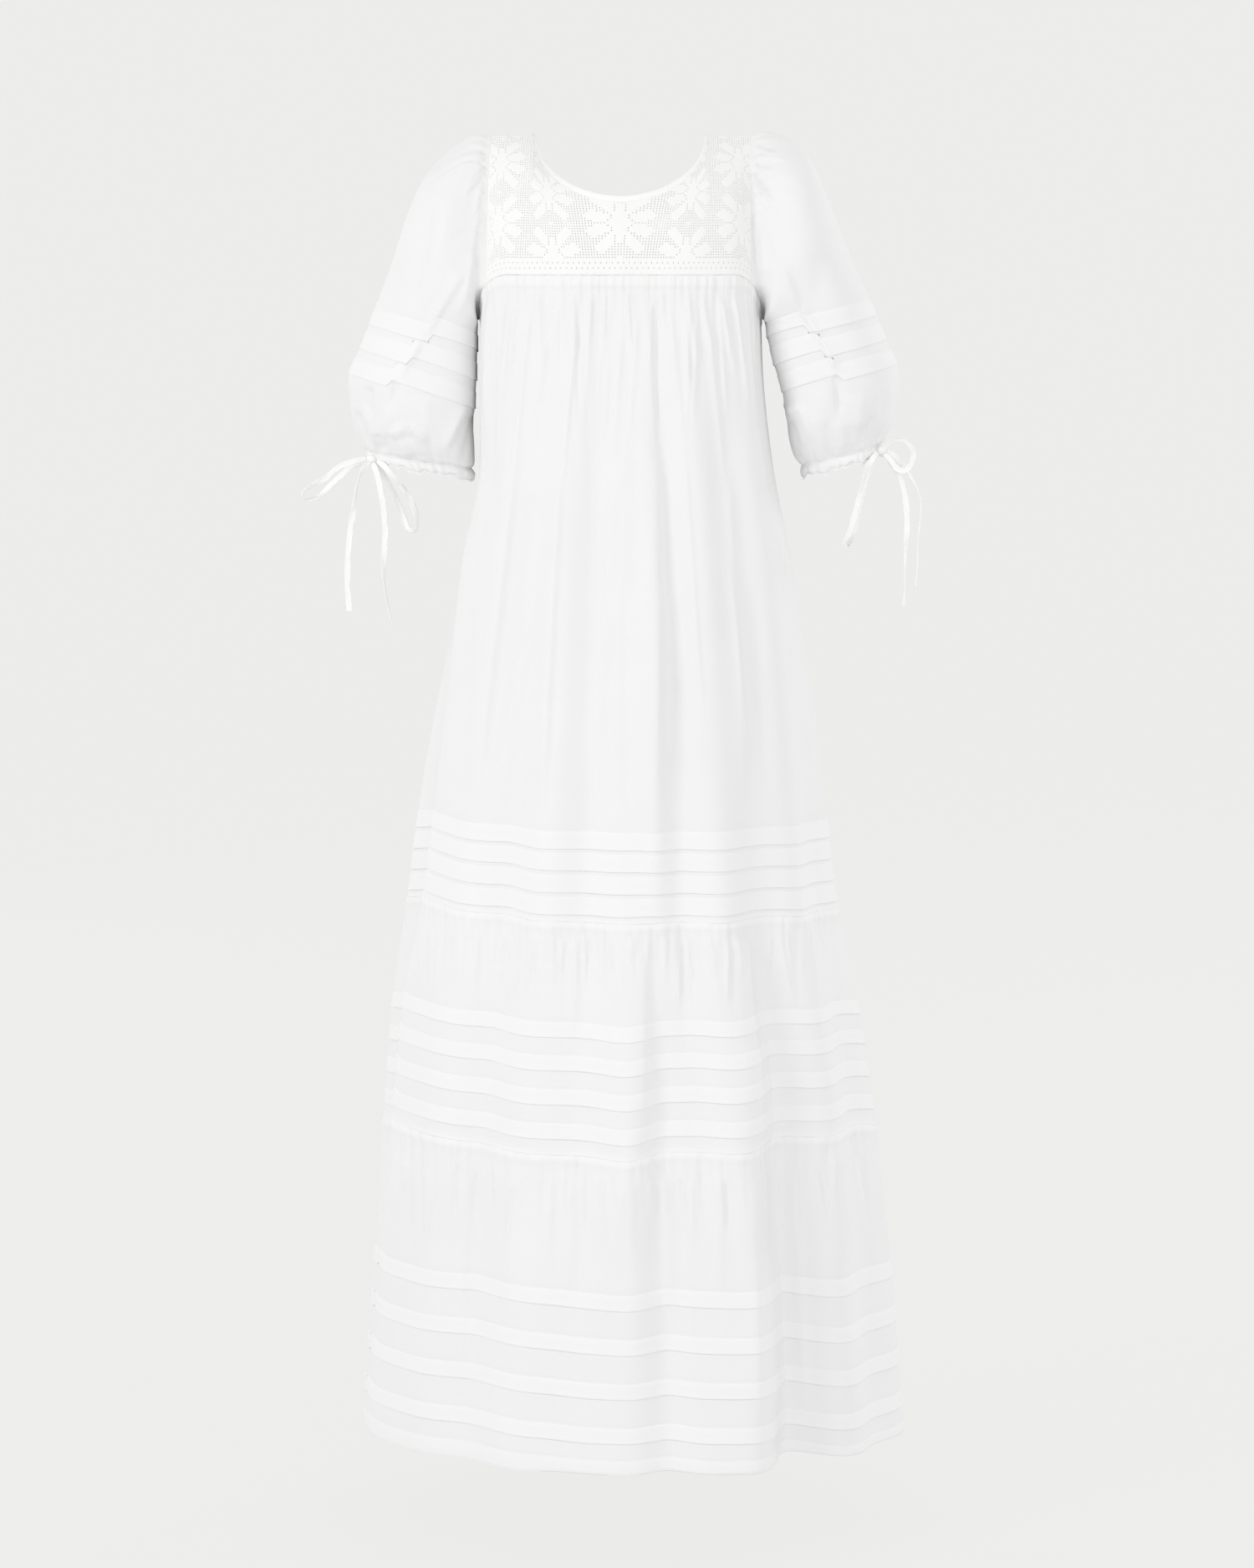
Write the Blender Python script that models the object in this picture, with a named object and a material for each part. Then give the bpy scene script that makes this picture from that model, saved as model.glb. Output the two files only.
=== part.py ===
"""A white cotton maxi dress with a lace yoke, puffed sleeves and three tucked skirt stretches.

The dress is filled out as if worn, with nobody in it. The frame's origin is midway between
the shoulders, where the wearer holds the dress up: +Z is up, the front faces -Y and +X is the
viewer's right. Every piece of cloth is a closed wall. Skirt points are placed by phi, the
angle round the upright axis (0 at the front centre, +90 degrees at the viewer's right, 180 at
the back centre), and by their height z.
"""

import math

import bpy
import numpy as np

COLLECTION = "lace_dress"

# Cloth and seams, in metres.
WALL = 0.0015
SEAM_GAP = 0.0003
TUCK_RAISE = 0.0022
TUCK_UNDERCUT = 0.0007

# Heights of the seams that run round the dress.
YOKE_SEAM_Z = -0.150
UNDERARM_DROP = 0.048
BODY_SEAM_Z = -0.837
TIER_SEAM_Z = -1.085
HEM_Z = -1.415

# Columns of points round each half, and from its middle to the yoke's corner. Where the cloth is
# gathered there are twice as many, so that each column has one gather.
FRONT_STEPS = 40
BACK_STEPS = 26
FRONT_CORNER_STEPS = 14
BACK_CORNER_STEPS = 9
ARMHOLE_START = math.radians(54)
GATHER_FADE = math.radians(16)

# The neckline, the shoulder seams and the binding.
NECK_HALF_WIDTH = 0.0925
NECK_FRONT = {"reach": -0.085, "drop": -0.0704, "steps": 9}
NECK_BACK = {"reach": 0.078, "drop": -0.0790, "steps": 6}
SHOULDER_X = 0.1415
SHOULDER_FALL = 0.002
YOKE_BULGE = 0.27
YOKE_ROWS = 5
YOKE_MIDDLE = (0, 0, -0.15)
BINDING_GAP = 0.0006
BINDING_WIDTH = 0.005
BINDING_THICKNESS = 0.0024

# Half widths to the viewer's left and right and depths to the front and back, at each height.
# Squareness 2 is an ellipse, and more is squarer.
SECTION_COLUMNS = ("z", "left", "right", "front", "back", "squareness")
SECTIONS = (
    (-0.150, 0.1490, 0.1490, 0.1070, 0.1000, 3.3),
    (-0.212, 0.1510, 0.1510, 0.1160, 0.1040, 3.2),
    (-0.290, 0.1500, 0.1560, 0.1280, 0.1120, 3.0),
    (-0.370, 0.1520, 0.1660, 0.1390, 0.1230, 2.8),
    (-0.450, 0.1720, 0.1830, 0.1500, 0.1340, 2.6),
    (-0.560, 0.1930, 0.2000, 0.1640, 0.1480, 2.4),
    (-0.660, 0.2130, 0.2145, 0.1760, 0.1600, 2.3),
    (-0.760, 0.2300, 0.2270, 0.1880, 0.1720, 2.2),
    (-0.837, 0.2400, 0.2360, 0.1950, 0.1800, 2.2),
    (-0.930, 0.2550, 0.2540, 0.2150, 0.2000, 2.2),
    (-1.085, 0.2680, 0.2760, 0.2370, 0.2220, 2.2),
    (-1.200, 0.2770, 0.2910, 0.2500, 0.2360, 2.1),
    (-1.415, 0.2910, 0.3110, 0.2680, 0.2550, 2.1),
)

# Broad folds: where each one lies at the yoke and at the hem, its spread in degrees, and how
# far it stands out (in if negative) at the five fold levels.
FOLD_LEVELS = (-0.16, -0.42, -0.76, -1.00, -1.415)
FOLD_COLUMNS = ("top", "hem", "spread", "bust", "hip", "knee", "calf", "hem_out")
FOLDS = (
    (-86, -84, 13, 0.000, -0.008, -0.040, -0.026, -0.006),
    (-112, -112, 15, 0.000, 0.002, 0.014, 0.010, 0.004),
    (-67, -66, 9, 0.004, 0.008, 0.000, 0.002, 0.004),
    (-46, -50, 8, 0.001, 0.006, 0.007, 0.006, 0.003),
    (-36, -38, 6, 0.000, -0.005, -0.007, -0.010, -0.005),
    (-22, -24, 7, 0.001, 0.006, 0.008, 0.005, 0.006),
    (-9, -12, 6, 0.000, -0.006, -0.007, -0.004, -0.003),
    (1, 2, 6, 0.001, 0.005, 0.003, 0.012, 0.003),
    (11, 11, 5, 0.000, 0.006, 0.007, -0.006, -0.008),
    (20, 20, 6, 0.000, -0.006, -0.006, -0.006, 0.003),
    (31, 31, 8, 0.001, 0.007, 0.006, 0.008, 0.012),
    (43, 44, 8, 0.000, -0.006, -0.006, -0.018, -0.034),
    (56, 57, 7, 0.001, 0.006, 0.005, 0.006, 0.004),
    (68, 66, 7, 0.000, 0.004, -0.004, -0.005, -0.006),
    (80, 80, 8, 0.000, 0.002, 0.003, 0.006, 0.006),
    (102, 100, 9, 0.000, -0.006, -0.012, -0.013, -0.014),
    (118, 118, 9, 0.001, 0.006, 0.010, 0.010, 0.012),
    (134, 136, 8, 0.000, -0.006, -0.010, -0.013, -0.016),
    (150, 152, 9, 0.001, 0.006, 0.009, 0.010, 0.012),
    (165, 167, 7, 0.000, -0.006, -0.009, -0.011, -0.012),
    (180, 182, 8, 0.001, 0.006, 0.009, 0.011, 0.012),
    (196, 198, 7, 0.000, -0.006, -0.009, -0.012, -0.014),
    (212, 214, 9, 0.001, 0.006, 0.009, 0.010, 0.011),
    (229, 229, 8, 0.000, -0.005, -0.008, -0.010, -0.012),
)
# Below the hips a fold that stands out also hangs lower, by this share of how far it stands out.
FOLD_DIP = 0.22
DIP_START_Z = -0.45
DIP_FULL_Z = -0.85

# Each skirt stretch: the rows of points below its gathered seam, and its sewn tucks.
BODY = {"first_tuck": -0.7592, "pitch": 0.0234, "tucks": 4, "height": 0.0190}
TIER_TWO = {"first_tuck": -0.9603, "pitch": 0.0360, "tucks": 4, "height": 0.0165}
TIER_THREE = {"first_tuck": -1.2429, "pitch": 0.0474, "tucks": 4, "height": 0.0165}
BODY_GATHER_END_Z = -0.330
BODY_GATHER_ROWS = ((0.00, 0.0020), (0.12, 0.0026), (0.45, 0.0015))
BODY_PLAIN_ROWS = (-0.330, -0.450, -0.600)
TIER_GATHER_ROWS = ((0.000, 0.0012), (0.010, 0.0022), (0.042, 0.0012))
TIER_THREE_PLAIN_ROWS = (-1.16,)

# Sleeves: the outer and inner edge of each ring as seen from the front, its half depth from
# front to back, the y of its middle and the depth of its gathers: outer x and z, inner x and z,
# depth, y, wave. The armhole is the ring before the first row, and the rows numbered in
# SLEEVE_TUCKS are the fold edges of tucks.
RIGHT_SLEEVE = (
    (0.1560, 0.0020, 0.1545, -0.1995, 0.0680, 0.001, 0.0010),
    (0.1790, -0.0040, 0.1556, -0.2000, 0.0760, 0.002, 0.0020),
    (0.2050, -0.0270, 0.1564, -0.2005, 0.0810, 0.004, 0.0014),
    (0.2270, -0.0720, 0.1572, -0.2010, 0.0830, 0.006, 0.0006),
    (0.2530, -0.1400, 0.1580, -0.2020, 0.0800, 0.008, 0.0000),
    (0.2700, -0.1760, 0.1590, -0.2040, 0.0770, 0.009, 0.0),
    (0.2783, -0.1940, 0.1610, -0.2220, 0.0760, 0.010, 0.0),
    (0.2892, -0.2200, 0.1690, -0.2510, 0.0750, 0.010, 0.0),
    (0.3011, -0.2465, 0.1780, -0.2790, 0.0740, 0.010, 0.0),
    (0.3038, -0.2680, 0.1815, -0.3040, 0.0740, 0.010, 0.0010),
    (0.3002, -0.2950, 0.1850, -0.3290, 0.0700, 0.010, 0.0022),
    (0.2930, -0.3180, 0.1910, -0.3460, 0.0620, 0.010, 0.0030),
    (0.2865, -0.3320, 0.1990, -0.3560, 0.0530, 0.010, 0.0022),
)
LEFT_SLEEVE = (
    (0.1580, 0.0010, 0.1545, -0.1995, 0.0680, 0.002, 0.0010),
    (0.1830, -0.0140, 0.1552, -0.2005, 0.0760, 0.004, 0.0020),
    (0.2080, -0.0400, 0.1558, -0.2020, 0.0800, 0.007, 0.0014),
    (0.2270, -0.0780, 0.1562, -0.2040, 0.0820, 0.010, 0.0006),
    (0.2500, -0.1420, 0.1566, -0.2080, 0.0790, 0.012, 0.0000),
    (0.2660, -0.1850, 0.1570, -0.2160, 0.0760, 0.013, 0.0),
    (0.2725, -0.2040, 0.1578, -0.2350, 0.0750, 0.014, 0.0),
    (0.2822, -0.2300, 0.1586, -0.2660, 0.0740, 0.014, 0.0),
    (0.2941, -0.2570, 0.1600, -0.2960, 0.0730, 0.014, 0.0),
    (0.2945, -0.2820, 0.1606, -0.3150, 0.0730, 0.014, 0.0010),
    (0.2905, -0.3100, 0.1612, -0.3370, 0.0700, 0.014, 0.0022),
    (0.2830, -0.3310, 0.1622, -0.3530, 0.0630, 0.014, 0.0030),
    (0.2755, -0.3410, 0.1650, -0.3590, 0.0560, 0.014, 0.0022),
)
SLEEVE_TUCKS = (6, 7, 8)
SLEEVE_TUCK_HEIGHT = 0.019
# How much of the armhole's own shape the first rings still have.
ARMHOLE_SHARES = (0.7, 0.35, 0.1)
CUFF_HEIGHT = 0.013
CUFF_BULGE = 0.0010

# Ties at the cuffs: a flat drawstring 6.5 mm wide, knotted in a bow with two free ends.
TIE_WIDTH = 0.0065
TIE_THICKNESS = 0.0012
TIE_STEP = 0.0105
KNOT_RADII = (0.0062, 0.0048, 0.0050)
KNOT_GAP = 0.0006
# Points of each ribbon: x, y, z and the turn of its flat side in degrees. Its ends at the knot,
# the first point and also a loop's last one, are moved to lie just off the knot.
LEFT_KNOT = (-0.2700, -0.0199, -0.3495)
LEFT_TIES = {
    "loop_left_outer": (
        (-0.2765, -0.0221, -0.3487, 0),
        (-0.2880, -0.0262, -0.3512, 0),
        (-0.3035, -0.0310, -0.3565, 5),
        (-0.3180, -0.0360, -0.3684, 15),
        (-0.3353, -0.0370, -0.3779, 50),
        (-0.3436, -0.0340, -0.3857, 75),
        (-0.3425, -0.0295, -0.3923, 75),
        (-0.3337, -0.0260, -0.3925, 60),
        (-0.3248, -0.0230, -0.3877, 45),
        (-0.3158, -0.0212, -0.3792, 20),
        (-0.2994, -0.0190, -0.3638, 0),
        (-0.2870, -0.0186, -0.3545, 0),
        (-0.2760, -0.0180, -0.3520, 0),
    ),
    "loop_left_inner": (
        (-0.2628, -0.0219, -0.3505, 0),
        (-0.2560, -0.0305, -0.3560, 0),
        (-0.2436, -0.0340, -0.3707, 30),
        (-0.2318, -0.0350, -0.3852, 35),
        (-0.2237, -0.0360, -0.4010, 25),
        (-0.2202, -0.0340, -0.4138, 40),
        (-0.2222, -0.0300, -0.4258, 50),
        (-0.2279, -0.0262, -0.4260, 30),
        (-0.2352, -0.0230, -0.4135, 20),
        (-0.2415, -0.0210, -0.3964, 30),
        (-0.2496, -0.0230, -0.3801, 30),
        (-0.2576, -0.0245, -0.3660, 10),
        (-0.2655, -0.0195, -0.3530, 0),
    ),
    "tail_left_outer": (
        (-0.2728, -0.0262, -0.3526, 0),
        (-0.2790, -0.0310, -0.3600, 50),
        (-0.2837, -0.0325, -0.3707, 80),
        (-0.2869, -0.0355, -0.3892, 60),
        (-0.2898, -0.0360, -0.4091, 20),
        (-0.2927, -0.0350, -0.4273, 0),
        (-0.2947, -0.0340, -0.4464, 0),
        (-0.2960, -0.0330, -0.4731, 0),
        (-0.2959, -0.0320, -0.4932, 0),
        (-0.2940, -0.0320, -0.5132, 0),
    ),
    "tail_left_inner": (
        (-0.2685, -0.0235, -0.3540, 0),
        (-0.2645, -0.0305, -0.3622, 10),
        (-0.2605, -0.0340, -0.3773, 0),
        (-0.2566, -0.0345, -0.4011, 0),
        (-0.2548, -0.0340, -0.4252, 0),
        (-0.2556, -0.0335, -0.4465, 0),
        (-0.2570, -0.0330, -0.4624, 30),
        (-0.2565, -0.0330, -0.4798, 70),
        (-0.2539, -0.0330, -0.4998, 80),
        (-0.2487, -0.0340, -0.5223, 85),
    ),
}
RIGHT_KNOT = (0.2825, -0.0250, -0.3390)
RIGHT_TIES = {
    "loop_right_outer": (
        (0.2870, -0.0263, -0.3348, 10),
        (0.2960, -0.0285, -0.3288, 60),
        (0.3070, -0.0305, -0.3290, 70),
        (0.3144, -0.0320, -0.3361, 45),
        (0.3169, -0.0320, -0.3464, 20),
        (0.3142, -0.0305, -0.3548, 0),
        (0.3075, -0.0290, -0.3612, 0),
        (0.3005, -0.0282, -0.3600, 10),
        (0.2935, -0.0278, -0.3520, 10),
        (0.2862, -0.0272, -0.3432, 0),
    ),
    "loop_right_inner": (
        (0.2785, -0.0283, -0.3412, 0),
        (0.2740, -0.0362, -0.3460, 0),
        (0.2670, -0.0392, -0.3570, 30),
        (0.2620, -0.0370, -0.3714, 60),
        (0.2587, -0.0365, -0.3865, 20),
        (0.2534, -0.0355, -0.4086, 0),
        (0.2477, -0.0335, -0.4283, 0),
        (0.2433, -0.0305, -0.4397, 20),
        (0.2467, -0.0265, -0.4436, 50),
        (0.2513, -0.0240, -0.4329, 30),
        (0.2576, -0.0235, -0.4049, 10),
        (0.2648, -0.0260, -0.3750, 20),
        (0.2700, -0.0346, -0.3575, 0),
        (0.2735, -0.0332, -0.3480, 0),
        (0.2785, -0.0263, -0.3430, 0),
    ),
    "tail_right_inner": (
        (0.2860, -0.0228, -0.3425, 0),
        (0.2930, -0.0205, -0.3520, 10),
        (0.3000, -0.0195, -0.3640, 30),
        (0.3058, -0.0210, -0.3767, 20),
        (0.3092, -0.0230, -0.3947, 10),
        (0.3108, -0.0240, -0.4140, 0),
        (0.3103, -0.0245, -0.4335, 20),
        (0.3096, -0.0245, -0.4488, 55),
        (0.3088, -0.0245, -0.4682, 80),
        (0.3086, -0.0245, -0.4891, 85),
        (0.3080, -0.0245, -0.5086, 60),
    ),
    "tail_right_outer": (
        (0.2880, -0.0249, -0.3400, 0),
        (0.2985, -0.0235, -0.3475, 20),
        (0.3097, -0.0215, -0.3611, 50),
        (0.3177, -0.0225, -0.3735, 75),
        (0.3231, -0.0240, -0.3844, 85),
        (0.3258, -0.0255, -0.4022, 85),
        (0.3245, -0.0260, -0.4190, 85),
        (0.3225, -0.0260, -0.4397, 85),
        (0.3224, -0.0260, -0.4606, 85),
        (0.3206, -0.0260, -0.4871, 80),
    ),
}

# Colours are the cloth's reflectance, so the lace is a shade warmer than the voile.
MATERIALS = {
    "voile": {"colour": (0.90, 0.90, 0.89), "roughness": 0.85},
    "lace": {"colour": (0.88, 0.88, 0.85), "roughness": 0.90},
    "binding": {"colour": (0.92, 0.92, 0.90), "roughness": 0.80},
}


def clear_scene():
    for obj in list(bpy.data.objects):
        bpy.data.objects.remove(obj, do_unlink=True)


def make_collection():
    collection = bpy.data.collections.new(COLLECTION)
    bpy.context.scene.collection.children.link(collection)
    return collection


def make_material(name):
    material = bpy.data.materials.new(name)
    material.use_nodes = True
    shader = material.node_tree.nodes["Principled BSDF"]
    shader.inputs["Base Color"].default_value = (*MATERIALS[name]["colour"], 1.0)
    shader.inputs["Roughness"].default_value = MATERIALS[name]["roughness"]
    shader.inputs["Metallic"].default_value = 0.0
    return material


def table(columns, rows):
    """The rows as one array for each named column."""
    return {name: np.array([row[i] for row in rows]) for i, name in enumerate(columns)}


def on_curve(at, knots, values):
    """Values at the places `at`, on a smooth curve through rising knots (cubic Hermite)."""
    slopes = np.gradient(values, knots)
    i = np.clip(np.searchsorted(knots, at) - 1, 0, len(knots) - 2)
    span = knots[i + 1] - knots[i]
    t = np.clip((at - knots[i]) / span, 0, 1)
    rise = (1 + 2 * t) * (1 - t) ** 2 * values[i] + t * t * (3 - 2 * t) * values[i + 1]
    return rise + span * (t * (1 - t) ** 2 * slopes[i] - t * t * (1 - t) * slopes[i + 1])


def smoothstep(value):
    t = np.clip(value, 0, 1)
    return t * t * (3 - 2 * t)


def wrapped(angle):
    """The angle brought between -pi and pi."""
    return (angle + math.pi) % (2 * math.pi) - math.pi


SECTION = table(SECTION_COLUMNS, SECTIONS)
FOLD = table(FOLD_COLUMNS, FOLDS)


def section_at(name, z):
    return on_curve(z, SECTION["z"][::-1], SECTION[name][::-1])


def fold_out(phi, z):
    """How far the broad folds move the cloth out at phi and z: a bell for each fold."""
    levels = np.array(FOLD_LEVELS[::-1])
    down = (FOLD_LEVELS[0] - z) / (FOLD_LEVELS[0] - FOLD_LEVELS[-1])
    total = np.zeros(np.broadcast(phi, z).shape)
    for i in range(len(FOLDS)):
        sizes = np.array([FOLD[name][i] for name in FOLD_COLUMNS[3:]][::-1])
        middle = np.radians(FOLD["top"][i] + (FOLD["hem"][i] - FOLD["top"][i]) * down)
        away = wrapped(phi - middle) / math.radians(FOLD["spread"][i])
        total = total + on_curve(z, levels, sizes) * np.exp(-away * away)
    return total


def skirt_radius(phi, z):
    """Distance from the axis: a superellipse between the section's widths, plus the folds."""
    side = np.where(np.sin(phi) < 0, section_at("left", z), section_at("right", z))
    depth = np.where(np.cos(phi) > 0, section_at("front", z), section_at("back", z))
    power = section_at("squareness", z)
    across, forward = np.abs(np.sin(phi)) / side, np.abs(np.cos(phi)) / depth
    return (across**power + forward**power) ** (-1 / power) + fold_out(phi, z)


def skirt_points(phi, z, out=0.0):
    """Points of the skirt at phi and z, moved out by `out`, with the folds' dip in height."""
    radius = skirt_radius(phi, z) + out
    hang = smoothstep((DIP_START_Z - z) / (DIP_START_Z - DIP_FULL_Z))
    height = z - FOLD_DIP * hang * fold_out(phi, z)
    return np.stack([radius * np.sin(phi), -radius * np.cos(phi), height + 0 * phi], axis=-1)


def top_edge_z(phi):
    """Height of the body's upper edge: level under the yoke, and down to the underarm."""
    from_middle = np.minimum(np.abs(wrapped(phi)), math.pi - np.abs(wrapped(phi)))
    turn = (from_middle - ARMHOLE_START) / (math.pi / 2 - ARMHOLE_START)
    return YOKE_SEAM_Z - UNDERARM_DROP * (1 - np.cos(math.pi * np.clip(turn, 0, 1))) / 2


def length_along(points):
    """Distance along a line of points, from its first one."""
    return np.concatenate([[0], np.cumsum(np.linalg.norm(np.diff(points, axis=0), axis=1))])


def columns_of(half, steps):
    """phi of a half's columns, evenly apart along the yoke seam, from one side to the other."""
    start = -90 if half == "front" else 90
    phi = np.radians(np.linspace(start, start + 180, 361))
    along = length_along(skirt_points(phi, np.full(phi.shape, YOKE_SEAM_Z)))
    return np.interp(np.linspace(0, along[-1], steps + 1), along, phi)


def unit(vectors):
    return vectors / np.linalg.norm(vectors, axis=-1, keepdims=True)


def level_normals(points):
    """Outward normals of a row of points, in its own level."""
    along = np.gradient(points, axis=0)
    return unit(np.stack([along[:, 1], -along[:, 0], np.zeros(len(along))], axis=-1))


def build_mesh(name, points, faces, material, collection):
    mesh = bpy.data.meshes.new(name)
    mesh.from_pydata([tuple(point) for point in points], [], faces)
    mesh.materials.append(material)
    obj = bpy.data.objects.new(name, mesh)
    collection.objects.link(obj)
    mesh.shade_smooth()
    mesh.set_sharp_from_angle(angle=math.radians(40))
    return obj


def strip_faces(upper, lower):
    """Faces between two rows of point numbers. The lower row has as many steps, or half."""
    if len(upper) == len(lower):
        steps = range(len(upper) - 1)
        return [(upper[j], lower[j], lower[j + 1], upper[j + 1]) for j in steps]
    faces = []
    for j in range(len(lower) - 1):
        left, middle, right = upper[2 * j], upper[2 * j + 1], upper[2 * j + 2]
        faces.append((left, lower[j], middle))
        faces.append((middle, lower[j], lower[j + 1]))
        faces.append((middle, lower[j + 1], right))
    return faces


def wall(name, outer, inner, material, collection, closed=False):
    """A closed solid between two lists of rows of points, from its top edge to its bottom one."""
    rows, count = [], 0
    for row in [*outer, *inner]:
        numbers = list(range(count, count + len(row)))
        rows.append(numbers + numbers[:1] if closed else numbers)
        count += len(row)
    outside, inside = rows[: len(outer)], rows[len(outer) :]
    faces = []
    for upper, lower in zip(outside, outside[1:]):
        faces += strip_faces(upper, lower)
    for upper, lower in zip(inside, inside[1:]):
        faces += [face[::-1] for face in strip_faces(upper, lower)]
    faces += strip_faces(inside[0], outside[0])
    faces += strip_faces(outside[-1], inside[-1])
    if not closed:
        faces.append(tuple([row[0] for row in inside] + [row[0] for row in outside[::-1]]))
        faces.append(tuple([row[-1] for row in outside] + [row[-1] for row in inside[::-1]]))
    return build_mesh(name, np.concatenate([*outer, *inner]), faces, material, collection)


def doubled(values):
    """The values at a row's columns and halfway between them."""
    return np.interp(np.arange(2 * len(values) - 1) / 2, np.arange(len(values)), values)


def panel_row(phi, z, wave, out):
    """A row of a skirt panel moved out by `out`, with a gather in each column if it has waves."""
    z, wave = np.broadcast_to(z, phi.shape), np.broadcast_to(wave, phi.shape)
    toward = -1 if abs(wrapped(phi.mean())) < 1 else 1
    points = skirt_points(phi, z)
    if wave.any():
        height = doubled(points[:, 2])
        phi, z, wave = doubled(phi), doubled(z), doubled(wave)
        crest = np.where(np.arange(len(phi)) % 2, 1.0, -1.0)
        points = skirt_points(phi, z, wave * crest)
        points[:, 2] = height
    normals = level_normals(points)
    for end in (0, -1):
        normals[end] = (math.copysign(1, points[end, 0]), 0, 0)
        points[end, 1] += toward * SEAM_GAP * 0.6
    return points + normals * out


def skirt_panel(name, phi, rows, inner_rows, material, collection):
    """One panel from its rows of (height, wave of the gathers, raise of the tucks)."""
    outer = [panel_row(phi, z, wave, raised) for z, wave, raised in rows]
    inner = [panel_row(phi, z, wave, -WALL) for z, wave, _ in inner_rows]
    return wall(name, outer, inner, material, collection)


def tuck_rows(tucks):
    """Rows of a run of tucks: each one's stitch line, its raised fold edge, and just under it."""
    rows = []
    for i in range(tucks["tucks"]):
        edge = tucks["first_tuck"] - i * tucks["pitch"]
        rows.append((edge + tucks["height"], 0.0, 0.0))
        rows.append((edge, 0.0, TUCK_RAISE))
        rows.append((edge - TUCK_UNDERCUT, 0.0, 0.0))
    return rows


def body_rows(phi):
    """Rows of a body panel and of its plain inner side."""
    top = top_edge_z(phi)
    from_middle = np.minimum(np.abs(wrapped(phi)), math.pi - np.abs(wrapped(phi)))
    window = 1 - smoothstep((from_middle - ARMHOLE_START) / GATHER_FADE)
    gathers = [
        (top + share * (BODY_GATHER_END_Z - top), depth * window, 0.0)
        for share, depth in BODY_GATHER_ROWS
    ]
    plain = [(z, 0.0, 0.0) for z in BODY_PLAIN_ROWS]
    last = [(BODY_SEAM_Z, 0.0, 0.0)]
    first_stitches = [(BODY["first_tuck"] + BODY["height"], 0.0, 0.0)]
    return gathers + plain + tuck_rows(BODY) + last, gathers + plain + first_stitches + last


def tier_rows(seam_z, end_z, tucks, plain_z):
    """Rows of a gathered tier between two seams, and of its plain inner side."""
    start = seam_z - SEAM_GAP
    gathers = [(start - down, depth, 0.0) for down, depth in TIER_GATHER_ROWS]
    plain = [(z, 0.0, 0.0) for z in plain_z]
    last = [(end_z, 0.0, 0.0)]
    middle = [(tucks["first_tuck"] - tucks["pitch"], 0.0, 0.0)]
    return gathers + plain + tuck_rows(tucks) + last, gathers + plain + middle + last


def make_skirt(materials, collection):
    """The body and the two tiers below it, each a front and a back."""
    for half, steps in (("front", FRONT_STEPS), ("back", BACK_STEPS)):
        phi = columns_of(half, steps)
        stretches = {
            "body": body_rows(phi),
            "tier_two": tier_rows(BODY_SEAM_Z, TIER_SEAM_Z, TIER_TWO, ()),
            "tier_three": tier_rows(TIER_SEAM_Z, HEM_Z, TIER_THREE, TIER_THREE_PLAIN_ROWS),
        }
        for stretch, rows in stretches.items():
            skirt_panel(f"{stretch}_{half}", phi, *rows, materials["voile"], collection)


def yoke_top(neck, steps):
    """The yoke's upper edge at each column: the shoulder seams and the neckline's half ellipse."""
    share = np.linspace(-1, 1, 2 * steps + 1) * (1 if neck["reach"] < 0 else -1)
    neck_share = neck["steps"] / steps
    side, part = np.sign(share), np.abs(share)
    turn = np.clip(part / neck_share, 0, 1) * math.pi / 2
    out = np.clip((part - neck_share) / (1 - neck_share), 0, 1)
    x = side * (NECK_HALF_WIDTH * np.sin(turn) + (SHOULDER_X - NECK_HALF_WIDTH) * out)
    y = neck["reach"] * np.cos(turn) + math.copysign(SEAM_GAP * 0.6, neck["reach"])
    return np.stack([x, y, neck["drop"] * np.cos(turn) - SHOULDER_FALL * out], axis=-1)


def yoke_grid(phi, neck):
    """The yoke's outer points: lines from its upper edge to the body's edge, bowed outwards."""
    top = yoke_top(neck, len(phi) // 2)
    foot = skirt_points(phi, top_edge_z(phi))
    foot[:, 2] += SEAM_GAP
    bow = YOKE_BULGE * np.abs(top[:, 1] - foot[:, 1])
    lift = np.stack([0 * bow, math.copysign(0.6, neck["reach"]) * bow, 0.8 * bow], axis=-1)
    rows = np.linspace(0, 1, YOKE_ROWS + 1)[:, None, None]
    return top + (foot - top) * rows + 4 * rows * (1 - rows) * lift


def outward_normals(points, along, middle):
    """Normals of a grid from its downward and its `along` direction, facing away from `middle`."""
    normals = unit(np.cross(np.gradient(points, axis=0), along))
    away = ((points - middle) * normals).sum(axis=-1).mean()
    return normals if away > 0 else -normals


def make_yoke(materials, collection):
    """The two lace yoke pieces. Returns each one's grid of points and its normals."""
    made = {}
    for half, steps, corner, neck in (
        ("front", FRONT_STEPS, FRONT_CORNER_STEPS, NECK_FRONT),
        ("back", BACK_STEPS, BACK_CORNER_STEPS, NECK_BACK),
    ):
        phi = columns_of(half, steps)[steps // 2 - corner : steps // 2 + corner + 1]
        points = yoke_grid(phi, neck)
        normals = outward_normals(points, np.gradient(points, axis=1), YOKE_MIDDLE)
        inward = normals.copy()
        inward[0, np.abs(points[0, :, 0]) > NECK_HALF_WIDTH - 0.001, 1] = 0
        inward[:, [0, -1], 0] = 0
        inward[-1, :, 2] = 0
        wall(f"yoke_{half}", points, points - unit(inward) * WALL, materials["lace"], collection)
        made[half] = (points, normals)
    return made


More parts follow.
